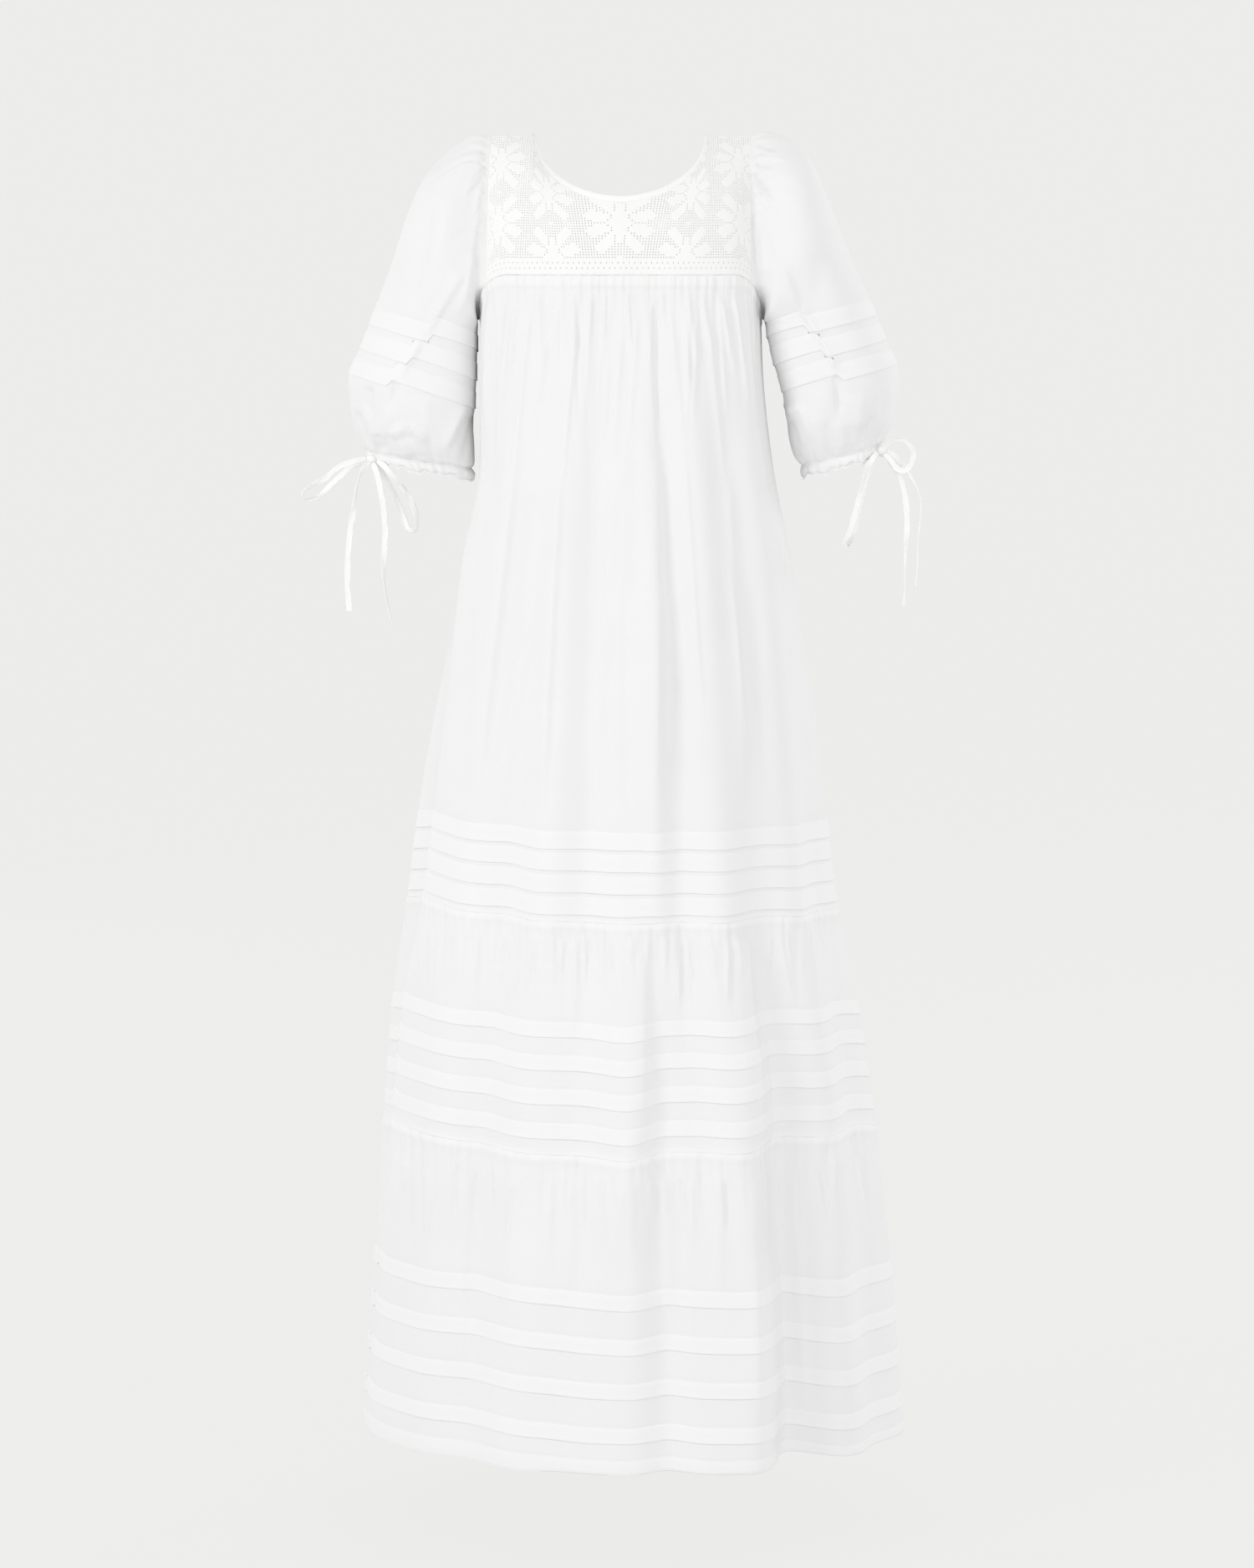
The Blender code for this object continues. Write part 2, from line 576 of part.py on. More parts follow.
def make_binding(yoke, materials, collection):
    """The neck binding: a closed strip that carries the yoke's surface on past the neckline."""
    path, out, along = [], [], []
    for half, side in (("front", 1), ("back", -1)):
        points, normals = yoke[half]
        corner = np.array([[side * NECK_HALF_WIDTH, 0.0, 0.0]])
        on_neck = np.abs(points[0, :, 0]) < NECK_HALF_WIDTH - 0.001
        run = np.concatenate([-corner, points[0, on_neck], corner])
        path.append(run[1:])
        along.append(np.concatenate([np.gradient(run, axis=0)[1:-1], [[0.0, side, 0.0]]]))
        out.append(np.concatenate([normals[0, on_neck], [[0.0, 0.0, 1.0]]]))
    path, out, along = (np.concatenate(parts) for parts in (path, out, along))
    inward = unit(np.cross(out, along))
    outer_side = out * (BINDING_THICKNESS - WALL) / 2
    inner_side = out * (BINDING_THICKNESS + WALL) / 2
    edges = (path + inward * (BINDING_GAP + BINDING_WIDTH), path + inward * BINDING_GAP)
    outer, inner = [edge + outer_side for edge in edges], [edge - inner_side for edge in edges]
    wall("neck_binding", outer, inner, materials["binding"], collection, closed=True)


def armhole_ring(side, yoke):
    """The armhole from the shoulder down the front, under the arm and up the back, and which
    of its points is the underarm."""
    front_phi, back_phi = columns_of("front", FRONT_STEPS), columns_of("back", BACK_STEPS)
    front_run = FRONT_STEPS // 2 - FRONT_CORNER_STEPS
    back_run = BACK_STEPS // 2 - BACK_CORNER_STEPS
    front_under = skirt_points(front_phi, top_edge_z(front_phi))[::-side][:front_run][::-1]
    back_under = skirt_points(back_phi, top_edge_z(back_phi))[::side][1:back_run]
    front_edge = yoke["front"][0][:, -1 if side > 0 else 0]
    back_edge = yoke["back"][0][1:, 0 if side > 0 else -1]
    ring = np.concatenate([front_edge, front_under, back_under, back_edge[::-1]])
    return ring, len(front_edge) + front_run - 1


def ring_turns(ring, underarm):
    """The angle of each armhole point on the sleeve's rings: 0 outside, pi at the underarm."""
    along = length_along(np.concatenate([ring, ring[:1]]))
    return np.interp(along[:-1], [0, along[underarm], along[-1]], [0, math.pi, 2 * math.pi])


def sleeve_ring(row, side, turn, armhole, underarm, armhole_share):
    """A ring of a sleeve: an ellipse between its outer and inner edge, gathered by its wave,
    mixed with the armhole's shape moved to the same two edges."""
    outer_x, outer_z, inner_x, inner_z, depth, y, wave = row
    outer = np.array([side * outer_x, y, outer_z])
    inner = np.array([side * inner_x, y, inner_z])
    half = (outer - inner) / 2
    out = np.cos(turn)[:, None] * half + np.sin(turn)[:, None] * np.array([0, -depth, 0])
    crest = np.where(np.arange(len(turn)) % 2, 1.0, -1.0)[:, None]
    ellipse = (outer + inner) / 2 + out + unit(out) * crest * wave
    top, bottom = armhole[0], armhole[underarm]
    height = ((armhole[:, 2] - bottom[2]) / (top[2] - bottom[2]))[:, None]
    moved = armhole + height * (outer - top) + (1 - height) * (inner - bottom)
    return ellipse + armhole_share * (moved - ellipse)


def make_sleeve(name, side, rows, yoke, materials, collection):
    """A sleeve with three tucks. Returns its last ring and the direction in which it ends."""
    armhole, underarm = armhole_ring(side, yoke)
    turn = ring_turns(armhole, underarm)
    armhole[:, 0] += side * SEAM_GAP * 1.5
    shares = [*ARMHOLE_SHARES, *([0] * (len(rows) - len(ARMHOLE_SHARES)))]
    rings = [
        sleeve_ring(row, side, turn, armhole, underarm, share)
        for row, share in zip(rows, shares)
    ]
    plain = np.stack([armhole, *rings])
    round_it = np.roll(plain, -1, axis=1) - np.roll(plain, 1, axis=1)
    normals = outward_normals(plain, round_it, plain.mean(axis=1, keepdims=True))
    normals[0, :, 0] = 0
    normals = unit(normals)
    outer = []
    for i in range(len(plain)):
        if i - 1 not in SLEEVE_TUCKS:
            outer.append(plain[i])
            continue
        up = plain[i - 1] - plain[i]
        room = np.linalg.norm(up, axis=-1, keepdims=True)
        outer.append(plain[i] + up * np.minimum(SLEEVE_TUCK_HEIGHT / room, 0.85))
        outer.append(plain[i] + normals[i] * TUCK_RAISE)
        outer.append(plain[i] - up / room * TUCK_UNDERCUT)
    outer = [ring[::-side] for ring in outer]
    inner = [ring[::-side] for ring in plain - normals * WALL]
    wall(name, outer, inner, materials["voile"], collection, closed=True)
    return outer[-1], unit(plain[-1].mean(axis=0) - plain[-2].mean(axis=0))


def make_cuff(name, ring, axis, materials, collection):
    """The gathered channel at the end of a sleeve, with a soft bulge between its edges."""
    out = unit(ring - ring.mean(axis=0))
    rows = ((0.0, 0.0), (0.5, CUFF_BULGE), (1.0, 0.0))
    outer = [
        ring + axis * (SEAM_GAP + share * CUFF_HEIGHT) + out * bulge for share, bulge in rows
    ]
    inner = [outer[0] - out * WALL, outer[-1] - out * WALL]
    wall(name, outer, inner, materials["binding"], collection, closed=True)


def smooth_line(points, step):
    """Points about `step` apart on a smooth curve through the given ones."""
    points = np.array(points, float)
    knots = length_along(points[:, :3])
    at = np.linspace(0, knots[-1], max(3, round(knots[-1] / step)) + 1)
    return np.stack([on_curve(at, knots, points[:, k]) for k in range(points.shape[1])], axis=-1)


def seated(point, knot):
    """A ribbon's end moved along its line from the knot's middle to lie just off the knot."""
    away = np.array(point[:3]) - knot
    reach = 1 / np.linalg.norm(away / KNOT_RADII) + KNOT_GAP / np.linalg.norm(away)
    return (*(knot + away * reach), point[3])


def make_ribbon(name, route, knot, materials, collection):
    """A flat tie: a rectangle carried along its route, turned about it by the given angles."""
    last = seated(route[-1], knot) if name.startswith("loop") else route[-1]
    line = smooth_line((seated(route[0], knot), *route[1:-1], last), TIE_STEP)
    path, turn = line[:, :3], np.radians(line[:, 3:])
    tangent = unit(np.gradient(path, axis=0))
    across = unit(np.cross(tangent, [0.0, 1.0, 0.0]))
    face = np.cross(across, tangent)
    wide = across * np.cos(turn) + face * np.sin(turn)
    thick = np.cross(tangent, wide)
    half, deep = wide * TIE_WIDTH / 2, thick * TIE_THICKNESS / 2
    corners = (half + deep, deep - half, -half - deep, half - deep)
    ring = np.stack([path + corner for corner in corners], axis=1)
    count = len(path)
    faces = [
        (4 * i + j, 4 * i + (j + 1) % 4, 4 * i + 4 + (j + 1) % 4, 4 * i + 4 + j)
        for i in range(count - 1)
        for j in range(4)
    ]
    faces += [(3, 2, 1, 0), tuple(4 * count - 4 + j for j in range(4))]
    return build_mesh(name, ring.reshape(-1, 3), faces, materials["binding"], collection)


def make_knot(name, place, materials, collection):
    bpy.ops.mesh.primitive_uv_sphere_add(segments=10, ring_count=6, radius=1, location=place)
    knot = bpy.context.active_object
    knot.name = knot.data.name = name
    knot.scale = KNOT_RADII
    bpy.ops.object.transform_apply(location=False, rotation=False, scale=True)
    knot.data.shade_smooth()
    knot.data.materials.append(materials["binding"])
    for owner in list(knot.users_collection):
        owner.objects.unlink(knot)
    collection.objects.link(knot)


def main():
    clear_scene()
    collection = make_collection()
    materials = {name: make_material(name) for name in MATERIALS}
    yoke = make_yoke(materials, collection)
    make_binding(yoke, materials, collection)
    make_skirt(materials, collection)
    sleeves = {"right": (1, RIGHT_SLEEVE), "left": (-1, LEFT_SLEEVE)}
    for name, (side, rows) in sleeves.items():
        ring, axis = make_sleeve(f"sleeve_{name}", side, rows, yoke, materials, collection)
        make_cuff(f"cuff_{name}", ring, axis, materials, collection)
    for side, knot, ties in (("left", LEFT_KNOT, LEFT_TIES), ("right", RIGHT_KNOT, RIGHT_TIES)):
        make_knot(f"knot_{side}", knot, materials, collection)
        for name, route in ties.items():
            make_ribbon(name, route, knot, materials, collection)


main()
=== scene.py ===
import math

import bpy
import numpy as np
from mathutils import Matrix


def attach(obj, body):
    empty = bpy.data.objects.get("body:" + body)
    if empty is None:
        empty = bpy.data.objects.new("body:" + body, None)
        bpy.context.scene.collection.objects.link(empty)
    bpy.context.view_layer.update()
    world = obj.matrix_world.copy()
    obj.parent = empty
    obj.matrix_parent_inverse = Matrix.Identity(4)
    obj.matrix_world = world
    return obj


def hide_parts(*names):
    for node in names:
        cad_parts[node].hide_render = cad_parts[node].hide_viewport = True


# Looks of a white cotton maxi dress with a filet-lace yoke. The dress is filled out as if worn:
# +Z is up, the front faces -Y, +X is the viewer's right, and the origin is midway between the
# shoulders. Skirt points are placed by phi, the angle round the upright axis (0 at the front
# centre, +90 degrees at the viewer's right), and by their height z. Lengths are in metres.

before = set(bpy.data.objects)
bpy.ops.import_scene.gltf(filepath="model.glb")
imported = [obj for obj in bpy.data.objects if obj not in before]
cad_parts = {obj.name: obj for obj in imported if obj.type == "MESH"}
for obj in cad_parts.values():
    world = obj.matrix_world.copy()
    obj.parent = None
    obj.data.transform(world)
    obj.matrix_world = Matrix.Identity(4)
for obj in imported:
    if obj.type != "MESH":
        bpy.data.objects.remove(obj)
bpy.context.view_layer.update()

# The cloth's wall in the solids and the thinner one here, and the gap left at a seam.
WALL = 0.0015
THIN = 0.0010
SEAM_GAP = 0.0003
# Edges that turn by more than this are drawn sharp.
SHARP_EDGE = math.radians(65)

# Heights of the seams that run round the dress.
YOKE_SEAM_Z = -0.150
UNDERARM_DROP = 0.048
BODY_SEAM_Z = -0.837
TIER_SEAM_Z = -1.085
HEM_Z = -1.415

# Equal steps round each half along the yoke seam, how many of them lie between its middle and the
# yoke's corner, and the angle from which the body's edge dips towards the underarm.
FRONT_STEPS = 40
BACK_STEPS = 26
FRONT_CORNER_STEPS = 14
BACK_CORNER_STEPS = 9
ARMHOLE_START = math.radians(54)

# The neckline, the shoulder seams and the binding.
NECK_HALF_WIDTH = 0.0925
NECK_FRONT = {"reach": -0.085, "drop": -0.0704, "steps": 9}
NECK_BACK = {"reach": 0.078, "drop": -0.0790, "steps": 6}
SHOULDER_X = 0.1415
SHOULDER_FALL = 0.002
YOKE_BULGE = 0.27
BINDING_GAP = 0.0006
BINDING_WIDTH = 0.005
BINDING_THICKNESS = 0.0024

# Half widths to the viewer's left and right and depths to the front and back, at each height.
# Squareness 2 is an ellipse, and more is squarer.
SECTION_COLUMNS = ("z", "left", "right", "front", "back", "squareness")
SECTIONS = (
    (-0.150, 0.1490, 0.1490, 0.1070, 0.1000, 3.3),
    (-0.212, 0.1510, 0.1510, 0.1160, 0.1040, 3.2),
    (-0.290, 0.1500, 0.1560, 0.1280, 0.1120, 3.0),
    (-0.370, 0.1520, 0.1660, 0.1390, 0.1230, 2.8),
    (-0.450, 0.1720, 0.1830, 0.1500, 0.1340, 2.6),
    (-0.560, 0.1930, 0.2000, 0.1640, 0.1480, 2.4),
    (-0.660, 0.2130, 0.2145, 0.1760, 0.1600, 2.3),
    (-0.760, 0.2300, 0.2270, 0.1880, 0.1720, 2.2),
    (-0.837, 0.2400, 0.2360, 0.1950, 0.1800, 2.2),
    (-0.930, 0.2550, 0.2540, 0.2150, 0.2000, 2.2),
    (-1.085, 0.2680, 0.2760, 0.2370, 0.2220, 2.2),
    (-1.200, 0.2770, 0.2910, 0.2500, 0.2360, 2.1),
    (-1.415, 0.2910, 0.3110, 0.2680, 0.2550, 2.1),
)

# Broad folds: where each one lies at the yoke and at the hem, its spread in degrees, and how
# far it stands out (in if negative) at the five fold levels.
FOLD_LEVELS = (-0.16, -0.42, -0.76, -1.00, -1.415)
FOLD_COLUMNS = ("top", "hem", "spread", "bust", "hip", "knee", "calf", "hem_out")
FOLDS = (
    (-86, -84, 13, 0.000, -0.008, -0.040, -0.026, -0.006),
    (-112, -112, 15, 0.000, 0.002, 0.014, 0.010, 0.004),
    (-67, -66, 9, 0.004, 0.008, 0.000, 0.002, 0.004),
    (-46, -50, 8, 0.001, 0.006, 0.007, 0.006, 0.003),
    (-36, -38, 6, 0.000, -0.005, -0.007, -0.010, -0.005),
    (-22, -24, 7, 0.001, 0.006, 0.008, 0.005, 0.006),
    (-9, -12, 6, 0.000, -0.006, -0.007, -0.004, -0.003),
    (1, 2, 6, 0.001, 0.005, 0.003, 0.012, 0.003),
    (11, 11, 5, 0.000, 0.006, 0.007, -0.006, -0.008),
    (20, 20, 6, 0.000, -0.006, -0.006, -0.006, 0.003),
    (31, 31, 8, 0.001, 0.007, 0.006, 0.008, 0.012),
    (43, 44, 8, 0.000, -0.006, -0.006, -0.018, -0.034),
    (56, 57, 7, 0.001, 0.006, 0.005, 0.006, 0.004),
    (68, 66, 7, 0.000, 0.004, -0.004, -0.005, -0.006),
    (80, 80, 8, 0.000, 0.002, 0.003, 0.006, 0.006),
    (102, 100, 9, 0.000, -0.006, -0.012, -0.013, -0.014),
    (118, 118, 9, 0.001, 0.006, 0.010, 0.010, 0.012),
    (134, 136, 8, 0.000, -0.006, -0.010, -0.013, -0.016),
    (150, 152, 9, 0.001, 0.006, 0.009, 0.010, 0.012),
    (165, 167, 7, 0.000, -0.006, -0.009, -0.011, -0.012),
    (180, 182, 8, 0.001, 0.006, 0.009, 0.011, 0.012),
    (196, 198, 7, 0.000, -0.006, -0.009, -0.012, -0.014),
    (212, 214, 9, 0.001, 0.006, 0.009, 0.010, 0.011),
    (229, 229, 8, 0.000, -0.005, -0.008, -0.010, -0.012),
)
# Below the hips a fold that stands out also hangs lower, by this share of how far it stands out.
FOLD_DIP = 0.22
DIP_START_Z = -0.45
DIP_FULL_Z = -0.85

# The sewn tucks of each skirt stretch: the height of its first fold edge, the distance from one
# edge to the next, how many there are and how tall their flaps are.
BODY = {"first_tuck": -0.7592, "pitch": 0.0234, "tucks": 4, "height": 0.0190}
TIER_TWO = {"first_tuck": -0.9603, "pitch": 0.0360, "tucks": 4, "height": 0.0165}
TIER_THREE = {"first_tuck": -1.2429, "pitch": 0.0474, "tucks": 4, "height": 0.0165}

# Sleeves: the outer and inner edge of each ring as seen from the front, its half depth from
# front to back and the y of its middle: outer x and z, inner x and z, depth, y. The armhole is the
# ring before the first row, and the rows numbered in SLEEVE_TUCKS are the fold edges of tucks.
RIGHT_SLEEVE = (
    (0.1560, 0.0020, 0.1545, -0.1995, 0.0680, 0.001),
    (0.1790, -0.0040, 0.1556, -0.2000, 0.0760, 0.002),
    (0.2050, -0.0270, 0.1564, -0.2005, 0.0810, 0.004),
    (0.2270, -0.0720, 0.1572, -0.2010, 0.0830, 0.006),
    (0.2530, -0.1400, 0.1580, -0.2020, 0.0800, 0.008),
    (0.2700, -0.1760, 0.1590, -0.2040, 0.0770, 0.009),
    (0.2783, -0.1940, 0.1610, -0.2220, 0.0760, 0.010),
    (0.2892, -0.2200, 0.1690, -0.2510, 0.0750, 0.010),
    (0.3011, -0.2465, 0.1780, -0.2790, 0.0740, 0.010),
    (0.3038, -0.2680, 0.1815, -0.3040, 0.0740, 0.010),
    (0.3002, -0.2950, 0.1850, -0.3290, 0.0700, 0.010),
    (0.2930, -0.3180, 0.1910, -0.3460, 0.0620, 0.010),
    (0.2865, -0.3320, 0.1990, -0.3560, 0.0530, 0.010),
)
LEFT_SLEEVE = (
    (0.1580, 0.0010, 0.1545, -0.1995, 0.0680, 0.002),
    (0.1830, -0.0140, 0.1552, -0.2005, 0.0760, 0.004),
    (0.2080, -0.0400, 0.1558, -0.2020, 0.0800, 0.007),
    (0.2270, -0.0780, 0.1562, -0.2040, 0.0820, 0.010),
    (0.2500, -0.1420, 0.1566, -0.2080, 0.0790, 0.012),
    (0.2660, -0.1850, 0.1570, -0.2160, 0.0760, 0.013),
    (0.2725, -0.2040, 0.1578, -0.2350, 0.0750, 0.014),
    (0.2822, -0.2300, 0.1586, -0.2660, 0.0740, 0.014),
    (0.2941, -0.2570, 0.1600, -0.2960, 0.0730, 0.014),
    (0.2945, -0.2820, 0.1606, -0.3150, 0.0730, 0.014),
    (0.2905, -0.3100, 0.1612, -0.3370, 0.0700, 0.014),
    (0.2830, -0.3310, 0.1622, -0.3530, 0.0630, 0.014),
    (0.2755, -0.3410, 0.1650, -0.3590, 0.0560, 0.014),
)
SLEEVE_TUCKS = (6, 7, 8)
SLEEVE_TUCK_HEIGHT = 0.019
# How much of the armhole's own shape the first rings still have. The inner half of a ring is
# squarer than an ellipse, and its front reaches in towards the body.
ARMHOLE_SHARES = (0.7, 0.35, 0.1)
INNER_SQUARENESS = 4.5
INNER_REACH = 0.006
CUFF_HEIGHT = 0.013

# Ties at the cuffs: a flat drawstring 6.5 mm wide, knotted in a bow with two free ends.
TIE_WIDTH = 0.0065
TIE_THICKNESS = 0.0012
RIBBON_STEP = 0.0022
# A ribbon's section, as shares of half its width and of its thickness either way.
RIBBON_ACROSS = (1.0, 0.92, 0.45, 0.0, -0.45, -0.92, -1.0, -0.92, -0.45, 0.0, 0.45, 0.92)
RIBBON_DEEP = (0.0, 1.0, 0.75, 0.65, 0.75, 1.0, 0.0, -1.0, -0.75, -0.65, -0.75, -1.0)
RIBBON_SHARE = 0.42
RIBBON_CUP = 0.0005
# How much a ribbon is pinched at its knot, and over what length.
PINCH = 0.30
PINCH_LENGTH = 0.004
KNOT_RADII = (0.0062, 0.0048, 0.0050)
KNOT_GAP = 0.0006
# Points of each ribbon: x, y, z and the turn of its flat side in degrees. Its ends at the knot,
# the first point and also a loop's last one, are moved to lie just off the knot.
LEFT_KNOT = (-0.2700, -0.0199, -0.3495)
LEFT_TIES = {
    "loop_left_outer": (
        (-0.2765, -0.0221, -0.3487, 0),
        (-0.2880, -0.0262, -0.3512, 0),
        (-0.3035, -0.0310, -0.3565, 5),
        (-0.3180, -0.0360, -0.3684, 15),
        (-0.3353, -0.0370, -0.3779, 50),
        (-0.3436, -0.0340, -0.3857, 75),
        (-0.3425, -0.0295, -0.3923, 75),
        (-0.3337, -0.0260, -0.3925, 60),
        (-0.3248, -0.0230, -0.3877, 45),
        (-0.3158, -0.0212, -0.3792, 20),
        (-0.2994, -0.0190, -0.3638, 0),
        (-0.2870, -0.0186, -0.3545, 0),
        (-0.2760, -0.0180, -0.3520, 0),
    ),
    "loop_left_inner": (
        (-0.2628, -0.0219, -0.3505, 0),
        (-0.2560, -0.0305, -0.3560, 0),
        (-0.2436, -0.0340, -0.3707, 30),
        (-0.2318, -0.0350, -0.3852, 35),
        (-0.2237, -0.0360, -0.4010, 25),
        (-0.2202, -0.0340, -0.4138, 40),
        (-0.2222, -0.0300, -0.4258, 50),
        (-0.2279, -0.0262, -0.4260, 30),
        (-0.2352, -0.0230, -0.4135, 20),
        (-0.2415, -0.0210, -0.3964, 30),
        (-0.2496, -0.0230, -0.3801, 30),
        (-0.2576, -0.0245, -0.3660, 10),
        (-0.2655, -0.0195, -0.3530, 0),
    ),
    "tail_left_outer": (
        (-0.2728, -0.0262, -0.3526, 0),
        (-0.2790, -0.0310, -0.3600, 50),
        (-0.2837, -0.0325, -0.3707, 80),
        (-0.2869, -0.0355, -0.3892, 60),
        (-0.2898, -0.0360, -0.4091, 20),
        (-0.2927, -0.0350, -0.4273, 0),
        (-0.2947, -0.0340, -0.4464, 0),
        (-0.2960, -0.0330, -0.4731, 0),
        (-0.2959, -0.0320, -0.4932, 0),
        (-0.2940, -0.0320, -0.5132, 0),
    ),
    "tail_left_inner": (
        (-0.2685, -0.0235, -0.3540, 0),
        (-0.2645, -0.0305, -0.3622, 10),
        (-0.2605, -0.0340, -0.3773, 0),
        (-0.2566, -0.0345, -0.4011, 0),
        (-0.2548, -0.0340, -0.4252, 0),
        (-0.2556, -0.0335, -0.4465, 0),
        (-0.2570, -0.0330, -0.4624, 30),
        (-0.2565, -0.0330, -0.4798, 70),
        (-0.2539, -0.0330, -0.4998, 80),
        (-0.2487, -0.0340, -0.5223, 85),
    ),
}
RIGHT_KNOT = (0.2825, -0.0250, -0.3390)
RIGHT_TIES = {
    "loop_right_outer": (
        (0.2870, -0.0263, -0.3348, 10),
        (0.2960, -0.0285, -0.3288, 60),
        (0.3070, -0.0305, -0.3290, 70),
        (0.3144, -0.0320, -0.3361, 45),
        (0.3169, -0.0320, -0.3464, 20),
        (0.3142, -0.0305, -0.3548, 0),
        (0.3075, -0.0290, -0.3612, 0),
        (0.3005, -0.0282, -0.3600, 10),
        (0.2935, -0.0278, -0.3520, 10),
        (0.2862, -0.0272, -0.3432, 0),
    ),
    "loop_right_inner": (
        (0.2785, -0.0283, -0.3412, 0),
        (0.2740, -0.0362, -0.3460, 0),
        (0.2670, -0.0392, -0.3570, 30),
        (0.2620, -0.0370, -0.3714, 60),
        (0.2587, -0.0365, -0.3865, 20),
        (0.2534, -0.0355, -0.4086, 0),
        (0.2477, -0.0335, -0.4283, 0),
        (0.2433, -0.0305, -0.4397, 20),
        (0.2467, -0.0265, -0.4436, 50),
        (0.2513, -0.0240, -0.4329, 30),
        (0.2576, -0.0235, -0.4049, 10),
        (0.2648, -0.0260, -0.3750, 20),
        (0.2700, -0.0346, -0.3575, 0),
        (0.2735, -0.0332, -0.3480, 0),
        (0.2785, -0.0263, -0.3430, 0),
    ),
    "tail_right_inner": (
        (0.2860, -0.0228, -0.3425, 0),
        (0.2930, -0.0205, -0.3520, 10),
        (0.3000, -0.0195, -0.3640, 30),
        (0.3058, -0.0210, -0.3767, 20),
        (0.3092, -0.0230, -0.3947, 10),
        (0.3108, -0.0240, -0.4140, 0),
        (0.3103, -0.0245, -0.4335, 20),
        (0.3096, -0.0245, -0.4488, 55),
        (0.3088, -0.0245, -0.4682, 80),
        (0.3086, -0.0245, -0.4891, 85),
        (0.3080, -0.0245, -0.5086, 60),
    ),
    "tail_right_outer": (
        (0.2880, -0.0249, -0.3400, 0),
        (0.2985, -0.0235, -0.3475, 20),
        (0.3097, -0.0215, -0.3611, 50),
        (0.3177, -0.0225, -0.3735, 75),
        (0.3231, -0.0240, -0.3844, 85),
        (0.3258, -0.0255, -0.4022, 85),
        (0.3245, -0.0260, -0.4190, 85),
        (0.3225, -0.0260, -0.4397, 85),
        (0.3224, -0.0260, -0.4606, 85),
        (0.3206, -0.0260, -0.4871, 80),
    ),
}

# Fine columns of each half, and the rows between two kept rows of the plain inner side.
FINE_COLUMNS = {"front": 400, "back": 260}
INNER_EVERY = 7

# Where a panel's relief fades: gathers and folds at the side seams, folds where the cloth turns
# away from the front, and gathers under the arm and pressed flat at their seam.
SIDE_FADE = math.radians(2.6)
FACING = 0.45
UNDERARM_FADE = 0.09
UNDERARM_SHARE = 0.75
PRESS_LENGTH = 0.007
PRESS_SHARE = 0.7

# A sewn tuck from its stitch line to its fold edge: distance above the edge (a share of the
# tuck's height, and metres), how far the cloth stands out, and whether the cloth lies double.
TUCK_PROFILE_COLUMNS = ("share", "up", "out", "double")
TUCK_PROFILE_ROWS = (
    (1, 0.0016, 0.0, 0.0),
    (1, 0.0005, -0.0002, 0.4),
    (1, -0.0003, 0.0001, 1.0),
    (1, -0.0016, 0.0005, 1.0),
    (0.62, 0.0, 0.0006, 1.0),
    (0.32, 0.0, 0.0007, 1.0),
    (0, 0.0026, 0.0009, 1.0),
    (0, 0.0009, 0.0011, 1.0),
    (0, 0.0002, 0.0010, 1.0),
    (0, 0.0004, 0.0005, 0.7),
    (0, -0.0001, -0.0003, 0.2),
    (0, -0.0007, -0.0003, 0.0),
    (0, -0.0016, 0.0, 0.0),
)
# How far a tuck's rows reach above its stitch line and below its fold edge, and how much the
# height of its flap wanders.
STITCH_ABOVE = 0.0016
TUCK_BELOW = 0.0022
FLAP_WANDER = {"skirt": 0.35, "sleeve": 0.3}

# Gathers under a seam: spacing, depth and how far down they fade, in metres.
YOKE_GATHERS = ((0.0050, 0.0008, 0.016), (0.0098, 0.0018, 0.045), (0.0215, 0.0018, 0.110))
TIER_GATHERS = ((0.0072, 0.0009, 0.013), (0.0140, 0.0018, 0.034), (0.0310, 0.0018, 0.085))

# The front's tucks lie higher than an even hang puts them, in millimetres at each angle round
# from the front centre.
SHIFT_TURNS = (-90, -75, -60, -48, -40, -30, -20, -10, 0, 10, 20, 30, 42, 52, 62, 75, 90)
SHIFT_LEVELS = (-0.60, -0.78, -0.86, -1.00, -1.08, -1.27, -1.40, -1.43)
BODY_SHIFT = (0, 17, 17, 14, 10, 8, 7, 3, 4.5, 5, 3, 4, 3, 4, 2, 1, 0)
TIER_TWO_SHIFT = (0, 22, 23, 21, 15, 13, 11, 8, 8, 10, 11, 11, 14, 16, 18, 15, 0)
TIER_THREE_SHIFT = (0, 15, 17, 17, 16, 16, 12, 6, 7, 7, 5, 5, 2, -2, -3, -2, 0)
SHIFTS = (None, BODY_SHIFT, BODY_SHIFT, TIER_TWO_SHIFT, TIER_TWO_SHIFT, TIER_THREE_SHIFT,
          TIER_THREE_SHIFT, None)

# Rows of the body below its upper edge: the gathered heading listed one by one, then close and
# wide ones as (first, last, count), then a few down to a level line. The heading lies double, and
# these are its heights off the yoke's edge.
HEADING_ROWS = (-0.002, 0, 0.0008, 0.002)
CLOSE_ROWS = (0.0045, 0.037, 14)
WIDE_ROWS = (0.043, 0.18, 22)
LEVEL_ROWS = 8
LEVEL_Z = -0.390
HEADING_OUT = (-0.0012, -0.0004, 0.0006, 0.0011, 0.0012, 0.0012, 0.0012, 0.0007)
HEADING_LENGTH = 0.011
# The same for a tier: distance below the seam, height and doubling, then close rows.
TIER_HEADING = ((-0.0020, -0.0014, 1.0), (0.0, 0.0, 1.0), (0.0010, 0.0004, 1.0),
                (0.0024, 0.0007, 1.0))
TIER_CLOSE_ROWS = (0.0045, 0.048, 17)
